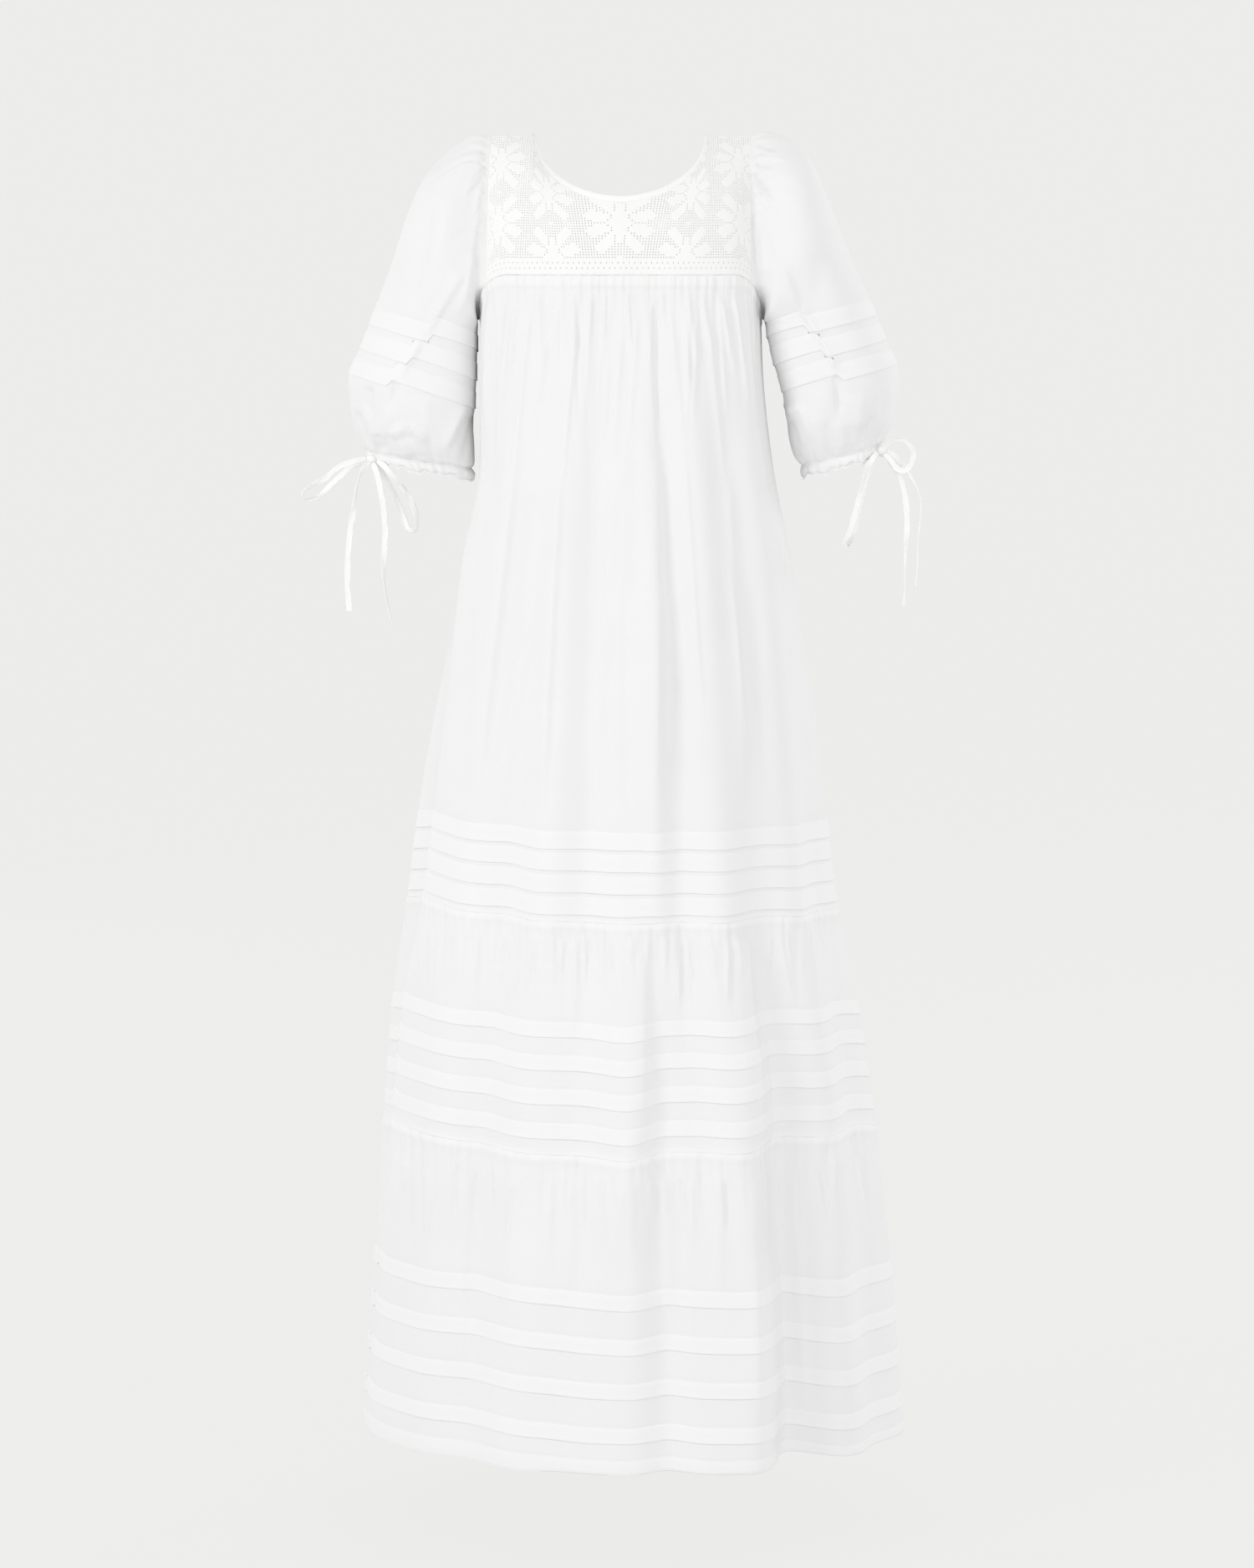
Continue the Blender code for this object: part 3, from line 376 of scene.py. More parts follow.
# The turned-in lower edge at a seam, and the narrow double hem with its stitch line: distance
# above the edge, height and doubling.
SEAM_EDGE = ((0.0045, 0.0, 0.4), (0.0025, 0.0003, 1.0), (0.0008, 0.0004, 1.0), (0, 0.0001, 1.0))
HEM_EDGE = (
    (0.0135, 0.0, 0.0), (0.0125, -0.0002, 0.5), (0.0118, 0.0002, 0.8), (0.0080, 0.0004, 0.8),
    (0.0035, 0.0004, 0.8), (0.0010, 0.0003, 0.8), (0.0, -0.0003, 0.8),
)

# Single folds seen from the front: from x and z to x and z, the width to the viewer's left and
# right of the crest, and the height, which each stretch takes this many times.
FOLD_DEPTH = {"body": 1.5, "tier_two": 1.25, "tier_three": 1.25}
SLEEVE_FOLD_DEPTH = 1.4
BODY_FOLDS = (
    (-0.0950, -0.1785, -0.1138, -0.3717, 0.005, 0.0025, 0.0016),
    (-0.1065, -0.3004, -0.1580, -0.7449, 0.016, 0.005, 0.0034),
    (-0.0461, -0.1943, -0.0634, -0.3891, 0.005, 0.0025, 0.0016),
    (-0.0626, -0.3352, -0.0838, -0.7403, 0.013, 0.004, 0.003),
    (0.0010, -0.2038, -0.0087, -0.3891, 0.005, 0.003, 0.0016),
    (-0.0059, -0.3352, -0.0265, -0.7237, 0.014, 0.006, 0.0028),
    (0.0263, -0.1690, 0.0376, -0.3527, 0.005, 0.004, 0.0014),
    (0.0367, -0.3004, 0.0388, -0.7402, 0.009, 0.006, 0.003),
    (0.0563, -0.1943, 0.0690, -0.3527, 0.007, 0.0025, 0.0012),
    (0.0668, -0.3178, 0.0898, -0.6540, 0.01, 0.003, 0.0016),
    (0.0929, -0.1943, 0.1121, -0.3907, 0.005, 0.004, 0.0016),
    (0.1119, -0.3368, 0.1331, -0.7446, 0.012, 0.007, 0.003),
    (-0.1309, -0.1642, -0.1272, -0.2925, 0.003, 0.003, 0.0012),
    (-0.1412, -0.1706, -0.1472, -0.3115, 0.003, 0.003, 0.0015),
    (-0.1235, -0.1690, -0.1322, -0.3558, 0.003, 0.0025, 0.0013),
    (-0.1100, -0.1737, -0.1266, -0.3194, 0.004, 0.0025, 0.0014),
    (-0.0776, -0.2117, -0.0901, -0.3004, 0.005, 0.003, 0.0009),
    (-0.0315, -0.1690, -0.0369, -0.2387, 0.004, 0.003, 0.0011),
    (-0.0163, -0.1642, -0.0175, -0.2307, 0.004, 0.003, 0.0009),
    (0.0124, -0.1595, 0.0163, -0.2482, 0.004, 0.003, 0.0009),
    (0.0428, -0.1642, 0.0516, -0.2387, 0.004, 0.003, 0.001),
    (0.0708, -0.1642, 0.0828, -0.2561, 0.004, 0.003, 0.0011),
    (0.0855, -0.1642, 0.0975, -0.2387, 0.003, 0.003, 0.0011),
    (0.1063, -0.1690, 0.1247, -0.2656, 0.004, 0.003, 0.0012),
    (0.1214, -0.1706, 0.1389, -0.3020, 0.003, 0.003, 0.0014),
    (0.1324, -0.1690, 0.1466, -0.3194, 0.003, 0.003, 0.0014),
    (0.1455, -0.3020, 0.1639, -0.4271, 0.004, 0.003, 0.0012),
)
TIER_TWO_FOLDS = (
    (0.1537, -0.9511, 0.1608, -1.1021, 0.020, 0.0022, 0.0026),
    (-0.1994, -0.8388, -0.2134, -0.9293, 0.008, 0.005, 0.0016),
    (-0.1626, -0.8320, -0.1742, -0.9142, 0.007, 0.005, 0.0015),
    (-0.1264, -0.8372, -0.1355, -0.9476, 0.01, 0.005, 0.0018),
    (-0.0908, -0.8369, -0.0938, -0.9381, 0.009, 0.005, 0.0016),
    (-0.0455, -0.8410, -0.0519, -0.9695, 0.012, 0.006, 0.0018),
    (-0.0069, -0.8394, 0.0059, -0.9359, 0.006, 0.005, 0.0015),
    (0.0244, -0.8396, 0.0233, -1.0806, 0.012, 0.006, 0.0022),
    (0.0559, -0.8412, 0.0629, -0.9310, 0.008, 0.006, 0.0015),
    (0.0949, -0.8394, 0.1073, -0.9394, 0.008, 0.006, 0.0016),
    (0.1312, -0.8379, 0.1509, -1.0715, 0.01, 0.004, 0.0026),
    (0.1689, -0.8366, 0.1858, -0.9391, 0.007, 0.005, 0.0016),
    (0.2008, -0.8360, 0.2186, -0.9294, 0.007, 0.005, 0.0015),
)
TIER_THREE_FOLDS = (
    (0.1643, -1.1647, 0.1747, -1.4081, 0.022, 0.0022, 0.0040),
    (-0.2256, -1.0815, -0.2463, -1.2223, 0.01, 0.007, 0.0018),
    (-0.1624, -1.0797, -0.1735, -1.3681, 0.014, 0.007, 0.0022),
    (-0.1076, -1.0803, -0.1207, -1.2528, 0.012, 0.006, 0.002),
    (-0.0471, -1.0850, -0.0546, -1.2323, 0.012, 0.007, 0.0018),
    (0.0022, -1.0835, -0.0203, -1.2839, 0.014, 0.007, 0.0024),
    (0.0503, -1.0855, 0.0522, -1.2692, 0.014, 0.007, 0.002),
    (0.1006, -1.0859, 0.1059, -1.2511, 0.012, 0.007, 0.002),
    (0.1397, -1.0772, 0.1483, -1.3870, 0.009, 0.005, 0.0026),
    (0.1854, -1.0808, 0.1986, -1.3858, 0.012, 0.007, 0.0024),
    (0.2320, -1.0770, 0.2509, -1.2202, 0.01, 0.007, 0.002),
)
LEFT_SLEEVE_FOLDS = (
    (-0.1476, -0.0197, -0.1735, -0.0268, 0.0022, 0.0016, 0.0013),
    (-0.1467, -0.0268, -0.1762, -0.0357, 0.0024, 0.002, 0.0012),
    (-0.1476, -0.0348, -0.1665, -0.0552, 0.0022, 0.0016, 0.0016),
    (-0.1486, -0.0428, -0.1701, -0.0694, 0.002, 0.0014, 0.0015),
    (-0.1467, -0.0144, -0.1627, -0.0108, 0.0024, 0.002, 0.0011),
    (-0.1495, -0.0552, -0.1577, -0.0907, 0.003, 0.0022, 0.0012),
    (-0.1523, -0.0801, -0.1632, -0.1513, 0.005, 0.003, 0.0013),
    (-0.1578, -0.1246, -0.1670, -0.1888, 0.004, 0.0025, 0.0014),
    (-0.1986, -0.0268, -0.2438, -0.1424, 0.008, 0.005, 0.0022),
    (-0.2023, -0.0667, -0.2226, -0.1959, 0.009, 0.009, -0.0024),
    (-0.1808, -0.0579, -0.1991, -0.1513, 0.012, 0.009, 0.0014),
    (-0.1668, -0.1468, -0.2156, -0.2245, 0.007, 0.0032, 0.0022),
    (-0.2119, -0.2183, -0.2391, -0.2639, 0.007, 0.0032, 0.002),
    (-0.1633, -0.1602, -0.1742, -0.1959, 0.004, 0.003, 0.0012),
    (-0.2706, -0.2693, -0.2735, -0.3034, 0.005, 0.005, -0.0026),
    (-0.2860, -0.2962, -0.2683, -0.3447, 0.004, 0.003, -0.0026),
    (-0.2778, -0.2854, -0.2611, -0.3447, 0.005, 0.005, 0.0026),
    (-0.2409, -0.2630, -0.2482, -0.2908, 0.003, 0.004, -0.0026),
    (-0.2446, -0.2899, -0.2611, -0.3393, 0.009, 0.006, 0.0024),
    (-0.2610, -0.3195, -0.2575, -0.3438, 0.005, 0.005, -0.0026),
    (-0.2484, -0.3222, -0.2268, -0.3132, 0.005, 0.004, 0.0034),
    (-0.2286, -0.3132, -0.2052, -0.3276, 0.005, 0.004, 0.0034),
    (-0.2268, -0.3249, -0.2251, -0.3465, 0.016, 0.014, 0.002),
    (-0.1637, -0.2872, -0.1909, -0.3438, 0.007, 0.003, 0.0026),
    (-0.1566, -0.2962, -0.1712, -0.3573, 0.005, 0.004, -0.002),
    (-0.2086, -0.2765, -0.2071, -0.3303, 0.012, 0.009, 0.0014),
)
RIGHT_SLEEVE_FOLDS = (
    (0.1437, -0.0126, 0.1714, -0.0232, 0.0022, 0.0016, 0.0015),
    (0.1455, -0.0232, 0.1840, -0.0277, 0.002, 0.0016, 0.0013),
    (0.1420, -0.0321, 0.1679, -0.0410, 0.0022, 0.0016, 0.0012),
    (0.1429, -0.0410, 0.1680, -0.0765, 0.0018, 0.0022, 0.0019),
    (0.1411, -0.0481, 0.1573, -0.0712, 0.002, 0.002, 0.0012),
    (0.1464, -0.0055, 0.1633, -0.0073, 0.002, 0.002, 0.001),
    (0.1519, -0.0801, 0.1736, -0.1442, 0.006, 0.004, 0.0018),
    (0.1718, -0.1335, 0.1926, -0.1941, 0.006, 0.004, 0.0022),
    (0.1430, -0.0801, 0.1486, -0.1602, 0.004, 0.003, 0.0012),
    (0.1946, -0.0162, 0.2398, -0.1246, 0.008, 0.006, 0.0016),
    (0.2175, -0.1246, 0.2088, -0.1915, 0.014, 0.012, -0.0016),
    (0.2488, -0.1246, 0.2670, -0.1870, 0.008, 0.006, 0.0014),
    (0.1908, -0.1825, 0.2179, -0.2245, 0.003, 0.006, 0.0026),
    (0.2134, -0.2183, 0.2351, -0.2567, 0.003, 0.006, 0.0026),
    (0.1575, -0.1424, 0.1559, -0.2004, 0.004, 0.004, -0.0016),
    (0.2306, -0.2549, 0.2353, -0.3034, 0.003, 0.005, -0.003),
    (0.2208, -0.2675, 0.2183, -0.3213, 0.012, 0.009, 0.002),
    (0.2344, -0.3034, 0.2427, -0.3438, 0.006, 0.005, 0.0016),
    (0.1805, -0.2980, 0.1957, -0.2890, 0.004, 0.005, 0.0022),
    (0.1939, -0.2899, 0.2094, -0.3321, 0.005, 0.003, 0.0026),
    (0.1823, -0.3034, 0.1941, -0.3438, 0.005, 0.005, -0.002),
    (0.2585, -0.2765, 0.2570, -0.3213, 0.014, 0.01, 0.0026),
    (0.2731, -0.2998, 0.2589, -0.3357, 0.004, 0.004, -0.0026),
    (0.2908, -0.2675, 0.2768, -0.3258, 0.007, 0.006, 0.0018),
)

# Filet net: the side of a square, the width of its threads round an open square and their
# thickness, and how far a darned square stands out and the threads are rounded.
NET_PITCH = 0.0029
THREAD_ACROSS = 0.00116
THREAD_DOWN = 0.00095
NET_THICKNESS = 0.0008
DARN_RISE = 0.0002
THREAD_ROUND = 0.00015
# The charts, a darned square for each #: a flower, and the border along the gathered seam.
FLOWER = (
    "........................",
    ".....##..........##.....",
    "....####........####....",
    "....#####......#####....",
    ".....#####....#####.....",
    "......####.##.####......",
    ".......###.##.###.......",
    "...##...##.##.##...##...",
    "..#####..######..#####..",
    ".########.####.########.",
    "..#######.####.#######..",
    "....####.######.####....",
    "........########........",
    "....####.######.####....",
    "..#######.####.#######..",
    ".########.####.########.",
    "..#####..######..#####..",
    "...##...##.##.##...##...",
    ".......###.##.###.......",
    "......####.##.####......",
    ".....#####....#####.....",
    "....#####......#####....",
    "....####........####....",
    ".....##..........##.....",
    "........................",
    "...........##...........",
)
BORDER = ("########", "########", ".#.#.#.#", "########", "#.#.#.#.", "########")

# The neck binding laps this far over the lace, and is an oval with this many sides.
BINDING_LAP = 0.0022
BINDING_SIDES = 12

# Points round a sleeve.
SLEEVE_COLUMNS = 200
# Gathers round a sleeve: how many, how deep, and how far from their seam they fade.
HEAD_GATHERS = ((46, 0.0016, 0.020), (21, 0.0020, 0.042))
CUFF_GATHERS = ((44, 0.0018, 0.014), (17, 0.0030, 0.034))
# Where the long pleat crosses each tuck, in degrees round from the sleeve's outer edge, and how
# far the tuck is pulled up past it.
PLEAT_TURNS = {"left": (97, 81, 68), "right": (104, 96, 90)}
PLEAT_RISE = 0.0085
PLEAT_WIDTH = math.radians(5)
# Plain rows above each of a sleeve's tucks and below the last one.
SLEEVE_PLAIN_ROWS = (46, 3, 3)
SLEEVE_LAST_ROWS = 34
# The sleeve's edge laps this far over the yoke, and its first row is tucked in behind it.
HEAD_LAP = 0.0009
HEAD_TUCKED_IN = 0.0016
# Metres of cloth for each radian round a sleeve, for its weave.
ROUND_LENGTH = 0.055
# Rows of a cuff as shares of its height, the ones that its plain inner side keeps, and its
# puckers: how many round, how deep and how far they reach.
CUFF_ROWS = (-0.16, 0, 0.07, 0.14, 0.24, 0.36, 0.48, 0.6, 0.7, 0.78, 0.84, 0.9, 0.95, 0.98, 1)
CUFF_INNER_ROWS = (0, 7, 14)
CUFF_PUCKERS = ((44, 1.0, 1.0), (27, 0.6, 1.0))
PUCKER_DEPTH = 0.0017

# The camera: its place, the point that it looks at, its lens and its sensor in millimetres.
CAMERA_PLACE = (0.007, -5.5004, -0.0793)
CAMERA_AIM = (0.007, 0.0, -0.706)
CAMERA_LENS = 116.0
CAMERA_SENSOR = 36.0
CAMERA_REACH = 60.0

# The studio: a pale floor that turns up into a round wall, an even room and soft square lights,
# each with its place, the length of its side and its watts.
FLOOR_Z = -1.52
FLOOR_RADIUS = 8.0
WALL_BEND = 3.0
WALL_SIDES = 96
BACKDROP = "#ECECEA"
BACKDROP_GLOW = 0.965
ROOM_LIGHT = 0.80
LIGHT_AIM = (0.0, 0.0, -0.7)
LIGHTS = (
    ("key_light", (-3.9, -3.1, 1.3), 1.5, 66.0),
    ("fill_light", (4.1, -2.9, 0.2), 2.2, 30.0),
    ("front_light", (0.3, -5.3, 0.3), 1.5, 26.0),
    ("back_light", (3.9, 3.1, 1.3), 1.5, 44.0),
    ("back_fill", (-3.0, 4.0, 0.0), 2.2, 30.0),
)


def table(columns, rows):
    """The rows as one array for each named column."""
    return {name: np.array([row[i] for row in rows]) for i, name in enumerate(columns)}


def on_curve(at, knots, values):
    """Values at the places `at`, on a smooth curve through rising knots (cubic Hermite)."""
    slopes = np.gradient(values, knots)
    i = np.clip(np.searchsorted(knots, at) - 1, 0, len(knots) - 2)
    span = knots[i + 1] - knots[i]
    t = np.clip((at - knots[i]) / span, 0, 1)
    rise = (1 + 2 * t) * (1 - t) ** 2 * values[i] + t * t * (3 - 2 * t) * values[i + 1]
    return rise + span * (t * (1 - t) ** 2 * slopes[i] - t * t * (1 - t) * slopes[i + 1])


def smoothstep(value):
    """0 below 0 and 1 above 1, with a smooth rise between: 3 t squared less 2 t cubed."""
    t = np.clip(value, 0, 1)
    return t * t * (3 - 2 * t)


def wrapped(angle):
    """The angle brought between -pi and pi."""
    return (angle + math.pi) % (2 * math.pi) - math.pi


SECTION = table(SECTION_COLUMNS, SECTIONS)
FOLD = table(FOLD_COLUMNS, FOLDS)
TUCK_PROFILE = table(TUCK_PROFILE_COLUMNS, TUCK_PROFILE_ROWS)


def section_at(name, z):
    """One of the section's widths, depths or its squareness at height z."""
    return on_curve(z, SECTION["z"][::-1], SECTION[name][::-1])


def fold_out(phi, z):
    """How far the broad folds move the cloth out at phi and z: a bell for each fold."""
    levels = np.array(FOLD_LEVELS[::-1])
    down = (FOLD_LEVELS[0] - z) / (FOLD_LEVELS[0] - FOLD_LEVELS[-1])
    total = np.zeros(np.broadcast(phi, z).shape)
    for i in range(len(FOLDS)):
        sizes = np.array([FOLD[name][i] for name in FOLD_COLUMNS[3:]][::-1])
        middle = np.radians(FOLD["top"][i] + (FOLD["hem"][i] - FOLD["top"][i]) * down)
        away = wrapped(phi - middle) / math.radians(FOLD["spread"][i])
        total = total + on_curve(z, levels, sizes) * np.exp(-away * away)
    return total


def skirt_radius(phi, z):
    """Distance from the axis: a superellipse between the section's widths, plus the folds."""
    side = np.where(np.sin(phi) < 0, section_at("left", z), section_at("right", z))
    depth = np.where(np.cos(phi) > 0, section_at("front", z), section_at("back", z))
    power = section_at("squareness", z)
    across, forward = np.abs(np.sin(phi)) / side, np.abs(np.cos(phi)) / depth
    return (across**power + forward**power) ** (-1 / power) + fold_out(phi, z)


def skirt_points(phi, z, out=0.0):
    """Points of the skirt at phi and z, moved out by `out`, with the folds' dip in height."""
    radius = skirt_radius(phi, z) + out
    hang = smoothstep((DIP_START_Z - z) / (DIP_START_Z - DIP_FULL_Z))
    height = z - FOLD_DIP * hang * fold_out(phi, z)
    return np.stack([radius * np.sin(phi), -radius * np.cos(phi), height + 0 * phi], axis=-1)


def top_edge_z(phi):
    """Height of the body's upper edge: level under the yoke, and down to the underarm."""
    from_middle = np.minimum(np.abs(wrapped(phi)), math.pi - np.abs(wrapped(phi)))
    turn = (from_middle - ARMHOLE_START) / (math.pi / 2 - ARMHOLE_START)
    return YOKE_SEAM_Z - UNDERARM_DROP * (1 - np.cos(math.pi * np.clip(turn, 0, 1))) / 2


def length_along(points):
    """Distance along a line of points, from its first one."""
    return np.concatenate([[0], np.cumsum(np.linalg.norm(np.diff(points, axis=0), axis=1))])


def columns_of(half, steps):
    """phi of a half's columns, evenly apart along the yoke seam, from one side to the other."""
    start = -90 if half == "front" else 90
    phi = np.radians(np.linspace(start, start + 180, 361))
    along = length_along(skirt_points(phi, np.full(phi.shape, YOKE_SEAM_Z)))
    return np.interp(np.linspace(0, along[-1], steps + 1), along, phi)


def unit(vectors):
    """The vectors brought to length 1."""
    return vectors / np.linalg.norm(vectors, axis=-1, keepdims=True)


def round_turns(count):
    """Evenly spaced angles once round."""
    return np.linspace(0, 2 * math.pi, count, endpoint=False)


def first_again(grid):
    """The grid with its first column once more after its last, so that it closes round."""
    return np.concatenate([grid, grid[:, :1]], axis=1)


def ring_turns(ring, underarm):
    """The angle of each armhole point on the sleeve's rings: 0 outside, pi at the underarm."""
    along = length_along(np.concatenate([ring, ring[:1]]))
    return np.interp(along[:-1], [0, along[underarm], along[-1]], [0, math.pi, 2 * math.pi])


def sleeve_ring(row, side, turn, armhole, underarm, armhole_share):
    """A ring of a sleeve: an ellipse between its outer and inner edge, squarer in its inner
    half and reaching in at the front, mixed with the armhole's shape moved to the same edges."""
    outer_x, outer_z, inner_x, inner_z, depth, y = row
    outer = np.array([side * outer_x, y, outer_z])
    inner = np.array([side * inner_x, y, inner_z])
    power = np.where(np.cos(turn) < 0, INNER_SQUARENESS, 2.0)
    radius = (np.abs(np.cos(turn)) ** power + np.abs(np.sin(turn)) ** power) ** (-1 / power)
    across, forward = radius * np.cos(turn), radius * np.sin(turn)
    out = across[:, None] * (outer - inner) / 2 + forward[:, None] * np.array([0, -depth, 0])
    front_inner = np.clip(forward, 0, 1) * smoothstep(-across)
    out[:, 0] -= side * INNER_REACH * (1 - armhole_share) * front_inner
    ellipse = (outer + inner) / 2 + out
    top, bottom = armhole[0], armhole[underarm]
    height = ((armhole[:, 2] - bottom[2]) / (top[2] - bottom[2]))[:, None]
    moved = armhole + height * (outer - top) + (1 - height) * (inner - bottom)
    return ellipse + armhole_share * (moved - ellipse)


def smooth_line(points, step):
    """Points about `step` apart on a smooth curve through the given ones."""
    points = np.array(points, float)
    knots = length_along(points[:, :3])
    at = np.linspace(0, knots[-1], max(3, round(knots[-1] / step)) + 1)
    return np.stack([on_curve(at, knots, points[:, k]) for k in range(points.shape[1])], axis=-1)


def seated(point, knot):
    """A ribbon's end moved along its line from the knot's middle to lie just off the knot."""
    away = np.array(point[:3]) - knot
    reach = 1 / np.linalg.norm(away / KNOT_RADII) + KNOT_GAP / np.linalg.norm(away)
    return (*(knot + away * reach), point[3])


def mesh_of(name, points, faces, material):
    """A mesh object at the origin from points and a list of faces."""
    mesh = bpy.data.meshes.new(name)
    mesh.from_pydata(points.reshape(-1, 3).tolist(), [], faces)
    mesh.materials.append(material)
    piece = bpy.data.objects.new(name, mesh)
    bpy.context.scene.collection.objects.link(piece)
    mesh.shade_smooth()
    mesh.set_sharp_from_angle(angle=SHARP_EDGE)
    return piece


def corner_points(mesh):
    """The number of the point at each face corner."""
    corner = np.zeros(len(mesh.loops), np.int32)
    mesh.loops.foreach_get("vertex_index", corner)
    return corner


def add_uv(mesh, corner_uv):
    """Distances along and down the cloth at each face corner, in metres."""
    layer = mesh.uv_layers.new(name="cloth")
    layer.data.foreach_set("uv", corner_uv.astype(np.float32).ravel())


def add_number(mesh, name, values):
    """A number for each point of the mesh, read by its material."""
    attribute = mesh.attributes.new(name, "FLOAT", "POINT")
    attribute.data.foreach_set("value", values.astype(np.float32).ravel())


def cloth_wall(name, outer, inner, kept, along, down, double, material, closed=False):
    """Closed thin cloth: a fine outer grid and a plainer inner one that has the rows `kept`,
    joined along their edges. Its uv is the distance along and down the cloth in metres."""
    rows, columns = outer.shape[:2]
    number = np.arange(rows * columns).reshape(rows, columns)
    inside = rows * columns + np.arange(len(inner) * columns).reshape(len(inner), columns)
    if closed:
        number, inside = first_again(number), first_again(inside)

    def between(a, b):
        return np.stack([a[..., :-1], b[..., :-1], b[..., 1:], a[..., 1:]], axis=-1).reshape(-1, 4)

    faces = [
        between(number[:-1], number[1:]),
        between(inside[:-1], inside[1:])[:, ::-1],
        between(inside[0], number[0]),
        between(number[-1], inside[-1]),
    ]
    faces = np.concatenate(faces).tolist()
    if not closed:
        near = np.searchsorted(kept, np.arange(rows), side="right") - 1
        for i in range(rows - 1):
            a, b = near[i], near[i + 1]
            left = [inside[a, 0], inside[b, 0], number[i + 1, 0], number[i, 0]]
            right = [number[i, -1], number[i + 1, -1], inside[b, -1], inside[a, -1]]
            faces.append([int(p) for p in (left if a != b else left[1:])])
            faces.append([int(p) for p in (right if a != b else right[:3])])
    points = np.concatenate([outer.reshape(-1, 3), inner.reshape(-1, 3)])
    piece = mesh_of(name, points, faces, material)
    mesh = piece.data
    along, down = (np.broadcast_to(value, (rows, columns)) for value in (along, down))
    u, v = (np.concatenate([value.ravel(), value[kept].ravel()]) for value in (along, down))
    corner = corner_points(mesh)
    uv = np.stack([u[corner], v[corner]], axis=-1)
    if closed:
        column = (corner % columns).reshape(-1, 4)
        wraps = (column == 0) & (column == columns - 1).any(axis=1, keepdims=True)
        uv[wraps.ravel(), 0] = 2 * u[columns - 1] - u[columns - 2]
    add_uv(mesh, uv)
    twice = np.repeat(double, columns)
    add_number(mesh, "double", np.concatenate([twice, np.repeat(double[kept], columns)]))
    return piece


def replace_node(piece, *nodes, finish):
    """Stands the piece in for its solids, on the dress's one body."""
    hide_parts(*nodes)
    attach(piece, "root")


def grid_normals(points):
    """Unit normals of a grid of points, from its downward and its sideways steps."""
    return unit(np.cross(np.gradient(points, axis=0), np.gradient(points, axis=1)))


def arc_lengths(points):
    """Distance along each row of a grid, counted from the row's middle."""
    steps = np.linalg.norm(np.diff(points, axis=1), axis=-1)
    along = np.concatenate([np.zeros((len(points), 1)), np.cumsum(steps, axis=1)], axis=1)
    return along - along[:, -1:] / 2


def waver(x, length, seed):
    """A smooth uneven line between about -1 and 1: three sines of unrelated lengths."""
    shift = np.random.default_rng(seed).uniform(0, 2 * math.pi, 3)
    turns = 2 * math.pi * x / length
    return (
        0.5 * np.sin(turns + shift[0])
        + 0.3 * np.sin(turns * 1.73 + shift[1])
        + 0.2 * np.sin(turns * 2.91 + shift[2])
    )


def gathers(along, down, kinds, seed):
    """Height of gathered cloth: for each kind rounded crests with pinched valleys, |sin| to a
    power, unevenly spaced and deep, that fade with the distance below the seam."""
    total = 0 * (along + down)
    for i, (spacing, depth, fade) in enumerate(kinds):
        warp = 0.55 * waver(along, 9 * spacing, seed + i)
        size = 0.8 + 0.45 * waver(along, 5.2 * spacing, seed + 10 + i)
        reach = fade * (1 + 0.45 * waver(along, 6.3 * spacing, seed + 20 + i))
        crest = np.abs(np.sin(math.pi * (along / spacing + warp))) ** 0.8 - 0.6
        total = total + depth * size * crest * np.exp(-(np.clip(down, 0, None) / reach) ** 1.4)
    return total


def folds(x, z, rows):
    """Height of single soft folds. Each lies along the line between its two points as seen from
    the front. Across it is a bell with its own width on either side, so that a pressed fold has
    a steep side, and it swells and dies away along its length."""
    total = 0 * (x + z)
    for x0, z0, x1, z1, left, right, height in rows:
        across, down = x1 - x0, z1 - z0
        length = math.hypot(across, down)
        t = ((x - x0) * across + (z - z0) * down) / length**2
        away = ((z - z0) * across - (x - x0) * down) / length
        bell = np.exp(-np.abs(away / np.where(away < 0, left, right)) ** 1.7)
        total = total + height * smoothstep(t / 0.18) * smoothstep((1 - t) / 0.35) * bell
    return total


def uneven(along, z, seed):
    """Soft unevenness of hanging cloth, longer down than across."""
    return 0.0005 * waver(along + 0.2 * z, 0.085, seed) * waver(z - 0.3 * along, 0.31, seed + 1)


def tuck_block(edge, height):
    """The rows of one tuck: heights, how far they stand out and how double the cloth is."""
    profile = TUCK_PROFILE
    z = edge + profile["share"] * height + profile["up"]
    return [(z[i], profile["out"][i], profile["double"][i]) for i in range(len(z))]


def plain_block(start, end, count):
    """Evenly spaced plain rows from `start` down to just above `end`."""
    return [(start + (end - start) * i / count, 0.0, 0.0) for i in range(count)]


def tucked_rows(tucks, above, gap_rows):
    """Plain rows from `above`, then each tuck with plain rows between it and the next one."""
    rows, start = [], above
    for i in range(tucks["tucks"]):
        edge = tucks["first_tuck"] - i * tucks["pitch"]
        stitch = edge + tucks["height"] + STITCH_ABOVE
        if stitch < start - 0.0008:
            rows += plain_block(start - 0.0008, stitch, gap_rows[min(i, 1)])
        rows += tuck_block(edge, tucks["height"])
        start = edge - TUCK_BELOW
    return rows, start


def seam_rows(start, end):
    """Rows from the last tuck to the seam below it, where the turned-in edge lies double."""
    rows = plain_block(start, end + 0.005, 2) if start > end + 0.006 else []
    return [*rows, *[(end + up, out, double) for up, out, double in SEAM_EDGE]]


def hem_rows(start, end):
    """Rows down to a narrow double hem with its stitch line, and the hem's rounded edge."""
    rows = plain_block(start, end + 0.0142, 5)
    return [*rows, *[(end + up, out, double) for up, out, double in HEM_EDGE]]


